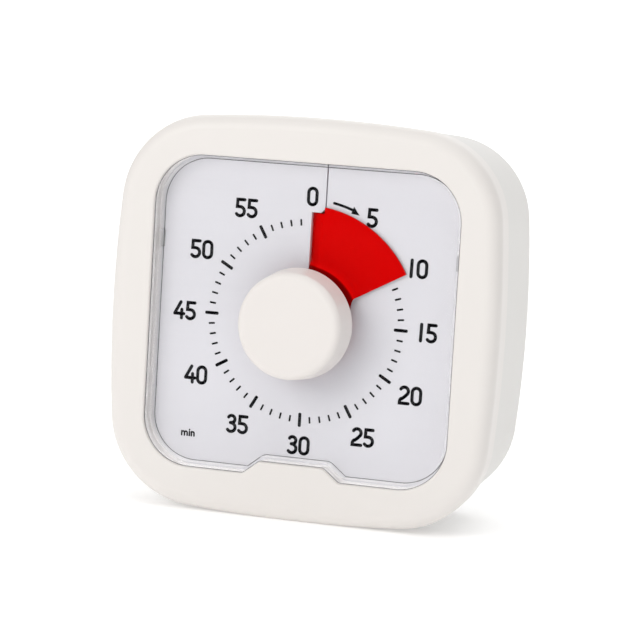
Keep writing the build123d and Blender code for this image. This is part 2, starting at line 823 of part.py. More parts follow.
# ================================================================ battery bay
with BuildPart() as battery:
    with BuildSketch(
        Plane(origin=(-battery_length / 2, dial_y + battery_depth, dial_z + battery_z), z_dir=(1, 0, 0))
    ):
        Circle(battery_radius)
    extrude(amount=battery_length)
    fillet(battery.edges(), 0.5)
    with BuildSketch(
        Plane(origin=(battery_length / 2, dial_y + battery_depth, dial_z + battery_z), z_dir=(1, 0, 0))
    ):
        Circle(2.7)
    extrude(amount=battery_nub)
save(battery, "battery")


def contact_strip(x, reach_x):
    """Flat strip that stands at one end of the bay and bends over onto the board."""
    strip = bar_outline(riser_back, x, battery_z, 0.4, bay_top - bay_bottom - 0.6)
    riser_top = -11.2
    riser_bottom = bay_top - 0.4
    riser = bar_outline(riser_back, x, (riser_top + riser_bottom) / 2, 0.4, riser_top - riser_bottom)
    foot = bar_outline(board_back + 0.4, (x + reach_x) / 2, -12.4, abs(x - reach_x) + 0.4, 2.4)
    return strip, riser, foot


with BuildPart() as contact_plus:
    strip, riser, foot = contact_strip(bay_half_width - 0.6, 20.0)
    extrude(strip, amount=11.0)
    extrude(riser, amount=riser_back - board_back)
    extrude(foot, amount=0.4)
save(contact_plus, "contact_plus")

with BuildPart() as contact_minus:
    strip, riser, foot = contact_strip(-bay_half_width + 0.6, -20.0)
    extrude(strip, amount=11.0)
    extrude(riser, amount=riser_back - board_back)
    extrude(foot, amount=0.4)
    with BuildSketch(Plane.XY.offset(dial_z + battery_z - 2.5)):
        with BuildLine():
            left = -bay_half_width + 0.8
            tip = -battery_length / 2 - 0.05
            Polyline(
                (left, dial_y + 18.0),
                (tip, dial_y + battery_depth - 0.6),
                (tip, dial_y + battery_depth + 0.6),
                (left, dial_y + 26.8),
                (left, dial_y + 26.2),
                (tip - 0.4, dial_y + battery_depth + 0.4),
                (tip - 0.4, dial_y + battery_depth - 0.4),
                (left, dial_y + 18.6),
                close=True,
            )
        make_face()
    extrude(amount=5.0)
save(contact_minus, "contact_minus")

with BuildPart() as battery_door:
    door_height = hinge_z - door_bottom
    extrude(
        bar_outline(back_depth, 0, hinge_z - door_height / 2, 2 * door_half_width, door_height),
        amount=door_thickness,
    )
    hinge_plane = Plane(origin=(0, dial_y + hinge_depth, dial_z + hinge_z), z_dir=(1, 0, 0))
    with BuildSketch(hinge_plane):
        Circle(door_thickness / 2)
    extrude(amount=door_half_width, both=True)
    with BuildSketch(hinge_plane):
        Circle(door_pin_radius)
    extrude(amount=door_half_width + door_pin_length, both=True)
    with BuildSketch(facing_front(back_depth, 0, door_bottom + grip_z)):
        SlotOverall(12.0, 3.2)
    extrude(amount=0.8, mode=Mode.SUBTRACT)
    with BuildSketch(facing_front(back_depth, 0, door_bottom + ribs_z)):
        with GridLocations(0, rib_pitch, 1, 3):
            SlotOverall(9.0, 0.8)
    extrude(amount=0.4, mode=Mode.SUBTRACT)
save(battery_door, "battery_door")

# ================================================================ screws
with BuildPart() as case_screws:
    for x, z in screw_places:
        extrude(disc_outline(screw_seat_depth + screw_head, x, z, screw_head_radius), amount=screw_head)
        extrude(disc_outline(screw_seat_depth, x, z, screw_radius), amount=screw_length)
        for width, height in ((cross_length, cross_width), (cross_width, cross_length)):
            extrude(
                bar_outline(screw_seat_depth + screw_head, x, z, width, height),
                amount=cross_depth,
                mode=Mode.SUBTRACT,
            )
save(case_screws, "case_screws")

with BuildPart() as movement_screws:
    for x in (-ear_x, ear_x):
        extrude(disc_outline(ear_depth + small_head, x, ear_z, small_head_radius), amount=small_head)
        extrude(disc_outline(ear_depth, x, ear_z, small_screw_radius), amount=3.6)
    for x, z in cover_screw_places:
        extrude(disc_outline(lid_back + small_head, x, z, small_head_radius), amount=small_head)
        extrude(disc_outline(lid_back, x, z, small_screw_radius), amount=5.5)
save(movement_screws, "movement_screws")

with BuildPart() as board_screws:
    for x, z in board_screw_places:
        extrude(disc_outline(board_depth, x, z, small_head_radius), amount=small_head)
        extrude(
            disc_outline(board_screw_depth, x, z, small_screw_radius), amount=board_screw_depth - board_depth
        )
save(board_screws, "board_screws")
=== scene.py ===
"""Looks of the sixty-minute visual kitchen timer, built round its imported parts.

The file is laid out as an add-on: sizes and colours in property groups, one operator for each
piece or group of like pieces, one for the stage, and a panel that lists them. It is run as a script.
"""

import json
import math

import bmesh
import bpy
from bpy.props import FloatProperty, FloatVectorProperty, IntProperty, PointerProperty
from bpy.types import Operator, Panel, PropertyGroup
from mathutils import Matrix, Vector


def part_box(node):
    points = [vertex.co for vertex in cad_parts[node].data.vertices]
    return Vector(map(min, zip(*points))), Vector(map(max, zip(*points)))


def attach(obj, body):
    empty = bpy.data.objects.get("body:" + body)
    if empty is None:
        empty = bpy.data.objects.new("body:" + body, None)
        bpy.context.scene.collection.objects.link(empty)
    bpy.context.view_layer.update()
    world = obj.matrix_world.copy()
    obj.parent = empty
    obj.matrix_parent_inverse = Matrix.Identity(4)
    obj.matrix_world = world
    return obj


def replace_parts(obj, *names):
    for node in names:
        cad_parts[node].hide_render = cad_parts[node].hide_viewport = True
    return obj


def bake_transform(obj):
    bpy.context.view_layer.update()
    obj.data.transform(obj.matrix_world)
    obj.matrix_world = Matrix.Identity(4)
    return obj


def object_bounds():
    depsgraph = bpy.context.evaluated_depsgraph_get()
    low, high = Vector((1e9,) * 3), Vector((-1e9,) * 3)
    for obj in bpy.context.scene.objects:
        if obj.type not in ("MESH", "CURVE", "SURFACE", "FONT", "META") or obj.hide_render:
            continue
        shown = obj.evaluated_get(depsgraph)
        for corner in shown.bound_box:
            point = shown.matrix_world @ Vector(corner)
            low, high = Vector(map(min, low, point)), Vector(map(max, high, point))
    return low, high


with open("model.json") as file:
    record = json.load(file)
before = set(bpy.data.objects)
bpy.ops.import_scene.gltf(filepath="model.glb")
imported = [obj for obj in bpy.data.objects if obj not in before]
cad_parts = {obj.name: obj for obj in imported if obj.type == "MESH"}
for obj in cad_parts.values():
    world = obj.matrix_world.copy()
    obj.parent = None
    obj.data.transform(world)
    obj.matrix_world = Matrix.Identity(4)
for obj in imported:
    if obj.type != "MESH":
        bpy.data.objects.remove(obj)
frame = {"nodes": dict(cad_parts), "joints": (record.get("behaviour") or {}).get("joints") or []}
cad_low, cad_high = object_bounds()

bl_info = {
    "name": "Sixty-minute kitchen timer",
    "version": (1, 0, 0),
    "blender": (4, 5, 0),
    "location": "3D View > Sidebar > Timer",
    "description": "Builds the printed dial, the red disc, the finishes and the stage of a kitchen timer",
    "category": "Object",
}

MM = 0.001
JOINTS = {joint["name"]: joint for joint in frame["joints"]}
DIAL = Vector(JOINTS["knob_turn"]["pos_m"])


# ---------------------------------------------------------------- settings
def length(name, text, default):
    """A length that a user can change, in metres."""
    return FloatProperty(name=name, description=text, default=default, unit="LENGTH")


def turn(name, text, degrees):
    """An angle that a user can change."""
    return FloatProperty(name=name, description=text, default=math.radians(degrees), unit="ROTATION")


def power(name, text, default):
    """A lamp's power that a user can change."""
    return FloatProperty(name=name, description=text, default=default, unit="POWER")


def tint(name, text, default):
    """A colour that a user can change."""
    return FloatVectorProperty(name=name, description=text, subtype="COLOR", default=default)


class TimerDialSettings(PropertyGroup):
    """Sizes of what is printed on the dial."""

    ring_radius: length("Tick ring radius", "Middle of the ticks, from the dial's centre", 0.0207)
    major_length: length("Five-minute tick length", "Length of a long tick", 0.0030)
    major_width: length("Five-minute tick width", "Width of a long tick", 0.00068)
    minor_length: length("Minute tick length", "Length of a short tick", 0.00140)
    minor_width: length("Minute tick width", "Width of a short tick", 0.00040)
    number_stroke: length("Number stroke", "Width of the numbers' strokes", 0.00069)
    number_pitch: length("Number pitch", "Distance between two digits of a number", 0.0026)
    arrow_radius: length("Arrow radius", "Radius of the curved arrow", 0.02555)
    arrow_start: turn("Arrow start", "Where the arrow begins, clockwise from the top", 10.7)
    arrow_end: turn("Arrow end", "Where the arrow's point is", 24.3)
    ink_height: length("Ink height", "How proud the printed ink stands", 0.00002)


class TimerDiscSettings(PropertyGroup):
    """Sizes of the red disc in front of the dial."""

    set_angle: turn("Set angle", "Angle of the leading edge at rest", 61.2)
    outer_radius: length("Outer radius", "Radius of the disc", 0.0243)
    inner_radius: length("Inner radius", "Radius of the hole under the knob", 0.0101)
    slit_offset: length("Slit offset", "Distance of the slit from the dial's centre line", 0.003)
    collar_radius: length("Collar radius", "Where the disc begins to rise towards the knob", 0.0134)
    collar_rise: length("Collar rise", "How far the collar stands up under the knob", 0.0017)
    thickness: length("Thickness", "Thickness of the sheet", 0.0003)
    columns: IntProperty(name="Columns", description="Steps of each sheet round the dial", default=110, min=8)


class TimerColours(PropertyGroup):
    """Main colours, scene linear."""

    front: tint("Front shell", "Warm white", (0.79, 0.757, 0.728))
    rear: tint("Rear shell", "Cool white", (0.74, 0.725, 0.70))
    knob: tint("Knob", "Warm white", (0.80, 0.762, 0.735))
    dial: tint("Dial", "Pale cool grey", (0.725, 0.72, 0.763))
    red: tint("Red disc", "Signal red", (0.66, 0.001, 0.001))
    ink: tint("Ink", "Near black", (0.002, 0.002, 0.003))


class TimerStageSettings(PropertyGroup):
    """Camera, floor and lights."""

    azimuth: turn("Azimuth", "Camera's turn round the dial", 17.22)
    elevation: turn("Elevation", "Camera's height as an angle", 6.45)
    roll: turn("Roll", "Camera's turn about its own axis", 3.43)
    distance: length("Distance", "Camera's distance from the dial", 0.58995)
    slide_right: length("Slide right", "Camera's slide along its own right", 0.003043)
    slide_up: length("Slide up", "Camera's slide along its own up", 0.000331)
    lens: FloatProperty(name="Lens", description="Focal length in millimetres", default=159.36)
    sky: FloatProperty(name="Sky", description="Strength of the even white light", default=0.50)
    key: power("Key", "Power of the large light on the left", 3.95)
    top: power("Top", "Power of the light above", 2.3)
    floor_glow: FloatProperty(
        name="Floor glow", description="Strength of the lit table that the timer stands on", default=0.22
    )
    floor_wash: power("Floor wash", "Power of the light on the floor", 4.5)
    back_wash: power("Back wash", "Power of the light on the sweep behind", 13.0)


# ---------------------------------------------------------------- modelling helpers
def spot(x, z, depth=0.0):
    """A place on or behind the dial: x right, z up, depth behind the dial's face, in millimetres."""
    return DIAL + Vector((x, depth, z)) * MM


def clear_selection():
    """Leaves edit mode and deselects everything."""
    if bpy.context.object and bpy.context.object.mode != "OBJECT":
        bpy.ops.object.mode_set(mode="OBJECT")
    bpy.ops.object.select_all(action="DESELECT")


def make_active(*pieces):
    """Selects these pieces only, the first one active."""
    clear_selection()
    for piece in pieces:
        piece.select_set(True)
    bpy.context.view_layer.objects.active = pieces[0]
    return pieces[0]


def settle(piece, name=None):
    """Brings a piece's place into its mesh, with its object at the origin."""
    make_active(piece)
    bpy.ops.object.transform_apply(location=True, rotation=True, scale=True)
    if name:
        piece.name = name
        piece.data.name = name
    return piece


def join(pieces, name):
    """Joins pieces into one and names it."""
    make_active(*pieces)
    if len(pieces) > 1:
        bpy.ops.object.join()
    return settle(bpy.context.object, name)


def use_modifier(piece, kind, **values):
    """Adds a modifier with these values and applies it."""
    make_active(piece)
    modifier = piece.modifiers.new(kind.lower(), kind)
    for key, value in values.items():
        setattr(modifier, key, value)
    bpy.ops.object.modifier_apply(modifier=modifier.name)


def pick(piece, test, what="VERT"):
    """In edit mode, selects the vertices, edges or faces for which the test holds."""
    bpy.ops.mesh.select_mode(type=what)
    bpy.ops.mesh.select_all(action="DESELECT")
    mesh = bmesh.from_edit_mesh(piece.data)
    rows = {"VERT": mesh.verts, "EDGE": mesh.edges, "FACE": mesh.faces}[what]
    found = [row for row in rows if test(row)]
    for row in found:
        row.select_set(True)
    mesh.select_flush_mode()
    bmesh.update_edit_mesh(piece.data)
    if not found:
        raise RuntimeError(f"nothing to select on {piece.name}")


def edit(piece):
    """Puts a piece in edit mode with nothing selected."""
    make_active(piece)
    bpy.ops.object.mode_set(mode="EDIT")
    bpy.ops.mesh.select_all(action="DESELECT")


def leave_edit():
    """Back to object mode."""
    bpy.ops.object.mode_set(mode="OBJECT")


def copy_of(piece, matrix):
    """A copy with its own mesh, moved by a matrix."""
    twin = piece.copy()
    twin.data = piece.data.copy()
    bpy.context.scene.collection.objects.link(twin)
    twin.data.transform(matrix)
    return twin


def turn_about_dial(angle):
    """Clockwise turn about the dial's axis, as seen from the front."""
    return Matrix.Translation(DIAL) @ Matrix.Rotation(angle, 4, "Y") @ Matrix.Translation(-DIAL)


def dress(piece, material, body):
    """Gives a new piece its finish and the body that it rides on."""
    piece.data.materials.clear()
    piece.data.materials.append(material)
    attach(piece, body)
    return piece


def finish_nodes(material, *nodes):
    """Gives CAD nodes a finish."""
    for node in nodes:
        piece = frame["nodes"][node]
        for index in range(len(piece.data.materials)):
            piece.data.materials[index] = material


# ---------------------------------------------------------------- shader helpers
def new_group(name, inputs, outputs):
    """An empty shader node group with these float or colour sockets."""
    tree = bpy.data.node_groups.new(name, "ShaderNodeTree")
    for label, default in inputs:
        kind = "NodeSocketColor" if isinstance(default, tuple) else "NodeSocketFloat"
        tree.interface.new_socket(label, in_out="INPUT", socket_type=kind).default_value = default
    for label, kind in outputs:
        tree.interface.new_socket(label, in_out="OUTPUT", socket_type=kind)
    source = tree.nodes.new("NodeGroupInput")
    target = tree.nodes.new("NodeGroupOutput")
    return tree, source, target


def add_node(tree, kind, links=(), **values):
    """Adds a node: values set its properties or sockets, links join outputs to its inputs."""
    node = tree.nodes.new("ShaderNode" + kind)
    for key, value in values.items():
        if hasattr(node, key):
            setattr(node, key, value)
        else:
            node.inputs[key.replace("_", " ")].default_value = value
    for output, name in links:
        tree.links.new(output, node.inputs[name])
    return node


def feed(tree, socket, term):
    """Links an output to a socket, or sets the socket to a plain number."""
    if isinstance(term, (int, float)):
        socket.default_value = term
    else:
        tree.links.new(term, socket)


def maths(tree, operation, *terms):
    """One step of arithmetic on outputs and plain numbers."""
    node = add_node(tree, "Math", operation=operation)
    for index, term in enumerate(terms):
        feed(tree, node.inputs[index], term)
    return node.outputs[0]


def remap(tree, value, *ends):
    """Stretches a value: ends are from low, from high, to low and to high."""
    node = add_node(tree, "MapRange", [(value, "Value")])
    for name, end in zip(("From Min", "From Max", "To Min", "To Max"), ends):
        feed(tree, node.inputs[name], end)
    return node.outputs["Result"]


def stops_of(tree, value, stops, interpolation="LINEAR"):
    """A colour ramp with these (position, colour) stops, in order."""
    node = add_node(tree, "ValToRGB", [(value, "Fac")])
    ramp = node.color_ramp
    ramp.interpolation = interpolation
    ramp.elements[0].position = stops[0][0]
    ramp.elements[-1].position = stops[-1][0]
    for position, _ in stops[1:-1]:
        ramp.elements.new(position)
    for element, (_, colour) in zip(ramp.elements, stops):
        element.color = tuple(colour) + (1.0,)
    return node.outputs["Color"]


def two_colours(tree, mask, first, second):
    """One colour that turns into another by a mask."""
    mix = add_node(tree, "Mix", [(mask, "Factor")], data_type="RGBA")
    mix.inputs[6].default_value = shade(first, 1.0)
    mix.inputs[7].default_value = shade(second, 1.0)
    return mix.outputs[2]


def multiplied(tree, first, second):
    """Two colours multiplied."""
    mix = add_node(tree, "Mix", data_type="RGBA", blend_type="MULTIPLY", Factor=1.0)
    tree.links.new(first, mix.inputs[6])
    tree.links.new(second, mix.inputs[7])
    return mix.outputs[2]


def facing(tree):
    """The parts of the true normal, and how squarely a face looks to the front or the back."""
    surface = add_node(tree, "NewGeometry")
    parts = add_node(tree, "SeparateXYZ", [(surface.outputs["True Normal"], "Vector")]).outputs
    return parts, maths(tree, "ABSOLUTE", parts["Y"])


def stretched_place(tree, scale=(1, 1, 1)):
    """Object coordinates, stretched."""
    place = add_node(tree, "TexCoord")
    mapping = add_node(tree, "Mapping", [(place.outputs["Object"], "Vector")])
    mapping.inputs["Scale"].default_value = scale
    return mapping.outputs["Vector"]


def build_moulded_grain():
    """Fine spark-erosion grain of a moulding and the faint clouds in its colour."""
    tree, source, target = new_group(
        "moulded_grain",
        [("Grain Scale", 2600.0), ("Cloud Scale", 45.0)],
        [("Height", "NodeSocketFloat"), ("Cloud", "NodeSocketFloat")],
    )
    place = stretched_place(tree)
    fine = add_node(tree, "TexNoise", [(place, "Vector"), (source.outputs["Grain Scale"], "Scale")],
                    Detail=3.0, Roughness=0.62)
    cloud = add_node(tree, "TexNoise", [(place, "Vector"), (source.outputs["Cloud Scale"], "Scale")],
                     Detail=4.0, Roughness=0.5)
    tree.links.new(fine.outputs["Fac"], target.inputs["Height"])
    tree.links.new(remap(tree, cloud.outputs["Fac"], 0.3, 0.7, 0.0, 1.0), target.inputs["Cloud"])
    return tree


def build_handling():
    """Where hands have polished or dulled a surface: a roughness that wanders about its middle."""
    tree, source, target = new_group(
        "handling",
        [("Roughness", 0.4), ("Wander", 0.06), ("Scale", 110.0)],
        [("Roughness", "NodeSocketFloat"), ("Smear", "NodeSocketFloat")],
    )
    place = stretched_place(tree)
    smear = add_node(tree, "TexNoise", [(place, "Vector"), (source.outputs["Scale"], "Scale")],
                     Detail=6.0, Roughness=0.6, Distortion=0.6)
    centred = maths(tree, "SUBTRACT", smear.outputs["Fac"], 0.5)
    amount = maths(tree, "MULTIPLY", centred, source.outputs["Wander"])
    tree.links.new(maths(tree, "ADD", amount, source.outputs["Roughness"]), target.inputs["Roughness"])
    tree.links.new(smear.outputs["Fac"], target.inputs["Smear"])
    return tree


def build_fine_scratches():
    """Hair-thin rubbing marks in two directions."""
    tree, source, target = new_group(
        "fine_scratches",
        [("Scale", 900.0)],
        [("Height", "NodeSocketFloat")],
    )
    ways = []
    for stretch in ((0.06, 1.0, 1.0), (1.0, 1.0, 0.07)):
        links = [(stretched_place(tree, stretch), "Vector"), (source.outputs["Scale"], "Scale")]
        ways.append(add_node(tree, "TexNoise", links, Detail=2.0, Roughness=0.7).outputs["Fac"])
    tree.links.new(maths(tree, "MULTIPLY", *ways), target.inputs["Height"])
    return tree


GROUP_MAKERS = {
    "moulded_grain": build_moulded_grain,
    "handling": build_handling,
    "fine_scratches": build_fine_scratches,
}


def place_group(tree, name, **values):
    """Places a shared effect in a material, with its own values."""
    group = bpy.data.node_groups.get(name) or GROUP_MAKERS[name]()
    node = add_node(tree, "Group", node_tree=group)
    for key, value in values.items():
        node.inputs[key.replace("_", " ")].default_value = value
    return node


def blank_material(name):
    """A node material with its Principled shader."""
    material = bpy.data.materials.new(name)
    material.use_nodes = True
    return material, material.node_tree, material.node_tree.nodes["Principled BSDF"]


def add_bump(tree, shader, height, strength, distance):
    """Joins a height to the shader's normal."""
    bump = add_node(tree, "Bump", [(height, "Height")], Strength=strength, Distance=distance)
    tree.links.new(bump.outputs["Normal"], shader.inputs["Normal"])
    return bump


def add_gloss(tree, shader, **values):
    """Gives the shader its handled gloss."""
    gloss = place_group(tree, "handling", **values)
    tree.links.new(gloss.outputs["Roughness"], shader.inputs["Roughness"])
    return gloss


def shade(colour, factor):
    """A colour made lighter or darker."""
    return tuple(min(1.0, channel * factor) for channel in colour[:3]) + (1.0,)


def moulded_plastic(name, colour, roughness, grain=2600.0, depth=0.000004, cloud=0.03, wander=0.08,
                    second=None, coat=0.0):
    """Moulded plastic: grain, faint clouds in its colour, and handling in its gloss."""
    material, tree, shader = blank_material(name)
    skin = place_group(tree, "moulded_grain", Grain_Scale=grain)
    add_gloss(tree, shader, Roughness=roughness, Wander=wander)
    other = second or shade(colour, 1 - cloud)
    tree.links.new(two_colours(tree, skin.outputs["Cloud"], colour, other), shader.inputs["Base Color"])
    add_bump(tree, shader, skin.outputs["Height"], 0.6, depth)
    shader.inputs["IOR"].default_value = 1.48
    shader.inputs["Coat Weight"].default_value = coat
    shader.inputs["Coat Roughness"].default_value = 0.12
    return material


def rubbed_metal(name, colour, roughness, stretch=900.0, depth=0.000002, tarnish=0.25):
    """Metal with rubbing marks and a little tarnish."""
    material, tree, shader = blank_material(name)
    marks = place_group(tree, "fine_scratches", Scale=stretch)
    gloss = add_gloss(tree, shader, Roughness=roughness, Wander=0.18, Scale=260.0)
    dulled = shade(colour, 1 - tarnish)
    tree.links.new(two_colours(tree, gloss.outputs["Smear"], colour, dulled), shader.inputs["Base Color"])
    add_bump(tree, shader, marks.outputs["Height"], 0.5, depth)
    shader.inputs["Metallic"].default_value = 1.0
    return material


def clear_plastic(name):
    """Clear moulded window: it lets light through to the dial, keeps its polish and faint scratches, and has
    a painted glow on its legs and a painted highlight on its edges.
    """
    material, tree, shader = blank_material(name)
    marks = place_group(tree, "fine_scratches", Scale=420.0)
    add_gloss(tree, shader, Roughness=0.035, Wander=0.03, Scale=70.0)
    parts, flat = facing(tree)
    on_flat = remap(tree, flat, 0.97, 0.999)
    add_bump(tree, shader, maths(tree, "MULTIPLY", marks.outputs["Height"], on_flat), 0.1, 0.0000005)
    # painted glow: the legs glow where they stand behind the dial's face, and the edges carry a painted
    # highlight, brighter on faces that turn up or down than on faces that turn to the sides
    place = add_node(tree, "TexCoord")
    depth = add_node(tree, "SeparateXYZ", [(place.outputs["Object"], "Vector")]).outputs["Y"]
    painted_leg_glow = remap(tree, depth, DIAL.y + 0.02 * MM, DIAL.y + 0.06 * MM, 0.0, 0.32)
    painted_highlight_peak = remap(tree, maths(tree, "ABSOLUTE", parts["Z"]), 0.0, 1.0, 0.13, 0.25)
    painted_edge_highlight = remap(tree, flat, 0.5, 0.95, painted_highlight_peak, 0.0)
    tree.links.new(maths(tree, "MAXIMUM", painted_leg_glow, painted_edge_highlight), shader.inputs["Emission Color"])
    shader.inputs["Emission Strength"].default_value = 1.0
    body = remap(tree, flat, 0.5, 0.95, 0.45, 0.018)
    shadow_ray = add_node(tree, "LightPath").outputs["Is Shadow Ray"]
    tree.links.new(remap(tree, shadow_ray, 0.0, 1.0, body, 0.03), shader.inputs["Alpha"])
    shader.inputs["Base Color"].default_value = (0.985, 0.99, 0.995, 1.0)
    shader.inputs["Transmission Weight"].default_value = 1.0
    shader.inputs["IOR"].default_value = 1.49
    return material


# ---------------------------------------------------------------- printed strokes
def arc(x, z, radius, start, end, steps=10):
    """Points on an arc, with angles in degrees from the right, turning left."""
    points = []
    for step in range(steps + 1):
        angle = math.radians(start + (end - start) * step / steps)
        points.append((x + radius * math.cos(angle), z + radius * math.sin(angle)))
    return points


# Each digit is drawn with round-ended strokes in a cell 4 high, in millimetres.
DIGIT_STROKES = {
    "0": [(arc(0, 0.8, 0.9, 0, 180, 12) + arc(0, -0.8, 0.9, 180, 360, 12), True)],
    "1": [([(0.03, 1.69), (0.0, 0.0), (-0.03, -1.69)], False)],
    "2": [(arc(-0.02, 0.83, 0.87, 152, -38, 12) + [(0.1, -0.28), (-0.45, -0.74)]
           + arc(-0.1, -1.4, 0.84, 128, 172, 4) + [(-0.95, -1.69), (0.92, -1.69)], False)],
    "3": [(arc(0.0, 0.94, 0.76, 150, -72, 12) + [(-0.22, 0.17)], False),
          ([(-0.22, 0.17)] + arc(-0.05, -0.79, 0.92, 78, -143, 14), False)],
    "4": [([(0.28, 1.69), (-1.0, -0.78)], False), ([(-1.0, -0.78), (1.03, -0.78)], False),
          ([(0.55, 0.1), (0.55, -1.69)], False)],
    "5": [([(0.8, 1.69), (-0.72, 1.69), (-0.78, 0.19), (-0.45, 0.2)]
           + arc(-0.13, -0.76, 0.95, 94, -143, 14), False)],
    "m": [([(-0.62, -0.42), (-0.62, 0.42)], False),
          ([(-0.62, 0.1)] + arc(-0.31, 0.12, 0.3, 160, 0, 6) + [(0.0, -0.42)], False),
          ([(0.0, 0.1)] + arc(0.31, 0.12, 0.3, 160, 0, 6) + [(0.62, -0.42)], False)],
    "i": [([(0.0, 0.42), (0.0, -0.42)], False), ([(0.0, 0.8), (0.0, 0.84)], False)],
    "n": [([(-0.3, -0.42), (-0.3, 0.42)], False),
          ([(-0.3, 0.1)] + arc(0.0, 0.12, 0.3, 160, 0, 6) + [(0.3, -0.42)], False)],
}


def stroke_sides(points, closed, half):
    """Left and right side points of a stroke along these middle points, mitred at its corners."""
    count = len(points)
    sides = []
    for index, point in enumerate(points):
        here = Vector(point)
        before = Vector(points[index - 1]) if index or closed else None
        after = Vector(points[(index + 1) % count]) if index < count - 1 or closed else None
        headings = []
        if before is not None:
            headings.append((here - before).normalized())
        if after is not None:
            headings.append((after - here).normalized())
        normals = [Vector((-heading.y, heading.x)) for heading in headings]
        middle = sum(normals, Vector((0.0, 0.0))).normalized()
        reach = half / max(0.35, middle.dot(normals[0]))
        sides.append((here + middle * reach, here - middle * reach))
    return sides


def thicken_from_front(piece, thickness):
    """In edit mode on a flat piece: turns its faces to the front, leaves edit mode and thickens it."""
    bpy.ops.mesh.select_all(action="SELECT")
    bpy.ops.mesh.normals_make_consistent(inside=False)
    if sum(face.normal.y * face.calc_area() for face in bmesh.from_edit_mesh(piece.data).faces) > 0:
        bpy.ops.mesh.flip_normals()
    leave_edit()
    use_modifier(piece, "SOLIDIFY", thickness=thickness, offset=-1.0)
    return piece


def draw_stroke(points, closed, width, thickness):
    """One stroke of ink, in millimetres, lying in the plane of x and z and as thick as the ink."""
    half = width / 2
    if closed:
        points = points[:-1] if (Vector(points[0]) - Vector(points[-1])).length < 1e-6 else points
        kept = [points[0]]
        for point in points[1:]:
            if (Vector(point) - Vector(kept[-1])).length > 1e-6:
                kept.append(point)
        points = kept
    else:
        first, second = Vector(points[0]), Vector(points[1])
        last, inner = Vector(points[-1]), Vector(points[-2])
        points = ([tuple(first - (second - first).normalized() * half)] + list(points)[1:-1]
                  + [tuple(last + (last - inner).normalized() * half)])
    sides = stroke_sides(points, closed, half)
    clear_selection()
    bpy.ops.mesh.primitive_plane_add(size=1, location=(0, 0, 0), rotation=(math.pi / 2, 0, 0))
    piece = settle(bpy.context.object)
    edit(piece)
    mesh = bmesh.from_edit_mesh(piece.data)
    corners = sorted(mesh.verts, key=lambda vert: (round(vert.co.z, 3), round(vert.co.x, 3)))
    starts = [Vector((side.x, 0, side.y)) for side in sides[0]]
    nexts = [Vector((side.x, 0, side.y)) for side in sides[1]]
    corners[0].co, corners[1].co = starts
    corners[2].co, corners[3].co = nexts
    for edge in mesh.edges:
        edge.select_set(set(edge.verts) == {corners[2], corners[3]})
    bmesh.update_edit_mesh(piece.data)
    leading = nexts
    for left, right in sides[2:]:
        target = [Vector((left.x, 0, left.y)), Vector((right.x, 0, right.y))]
        bpy.ops.mesh.select_mode(type="EDGE")
        bpy.ops.mesh.extrude_edges_move()
        mesh = bmesh.from_edit_mesh(piece.data)
        moved = [vert for vert in mesh.verts if vert.select]
        for vert in moved:
            nearer = 0 if (vert.co - leading[0]).length < (vert.co - leading[1]).length else 1
            vert.co = target[nearer]
        bmesh.update_edit_mesh(piece.data)
        leading = target
    if closed:
        mesh = bmesh.from_edit_mesh(piece.data)
        open_edges = [edge for edge in mesh.edges if edge.is_boundary]
        ends = [starts, leading]
        for edge in mesh.edges:
            edge.select_set(False)
        for edge in open_edges:
            places = [vert.co for vert in edge.verts]
            for end in ends:
                if all(min((place - corner).length for corner in end) < 1e-5 for place in places):
                    edge.select_set(True)
        bmesh.update_edit_mesh(piece.data)
        bpy.ops.mesh.bridge_edge_loops()
    else:
        bpy.ops.mesh.select_mode(type="VERT")
        ends = starts + leading
        pick(piece, lambda vert: min((vert.co - end).length for end in ends) < 1e-5)
        bpy.ops.mesh.bevel(offset=half * 0.96, offset_type="OFFSET", segments=4, affect="VERTICES",
                           clamp_overlap=False)
    return thicken_from_front(piece, thickness)


def glyph(character, width, thickness):
    """A whole character, its strokes united into one solid."""
    strokes = [draw_stroke(points, closed, width, thickness) for points, closed in DIGIT_STROKES[character]]
    whole = strokes[0]
    for other in strokes[1:]:
        use_modifier(whole, "BOOLEAN", operation="UNION", solver="EXACT", object=other)
        bpy.data.objects.remove(other)
    whole.name = f"glyph_{character}"
    return whole


def place_on_dial(piece, x, z, sink):
    """A copy of a flat piece drawn in millimetres, put on the dial at x, z."""
    return copy_of(piece, Matrix.Translation(spot(x, z, sink)) @ Matrix.Scale(MM, 4))


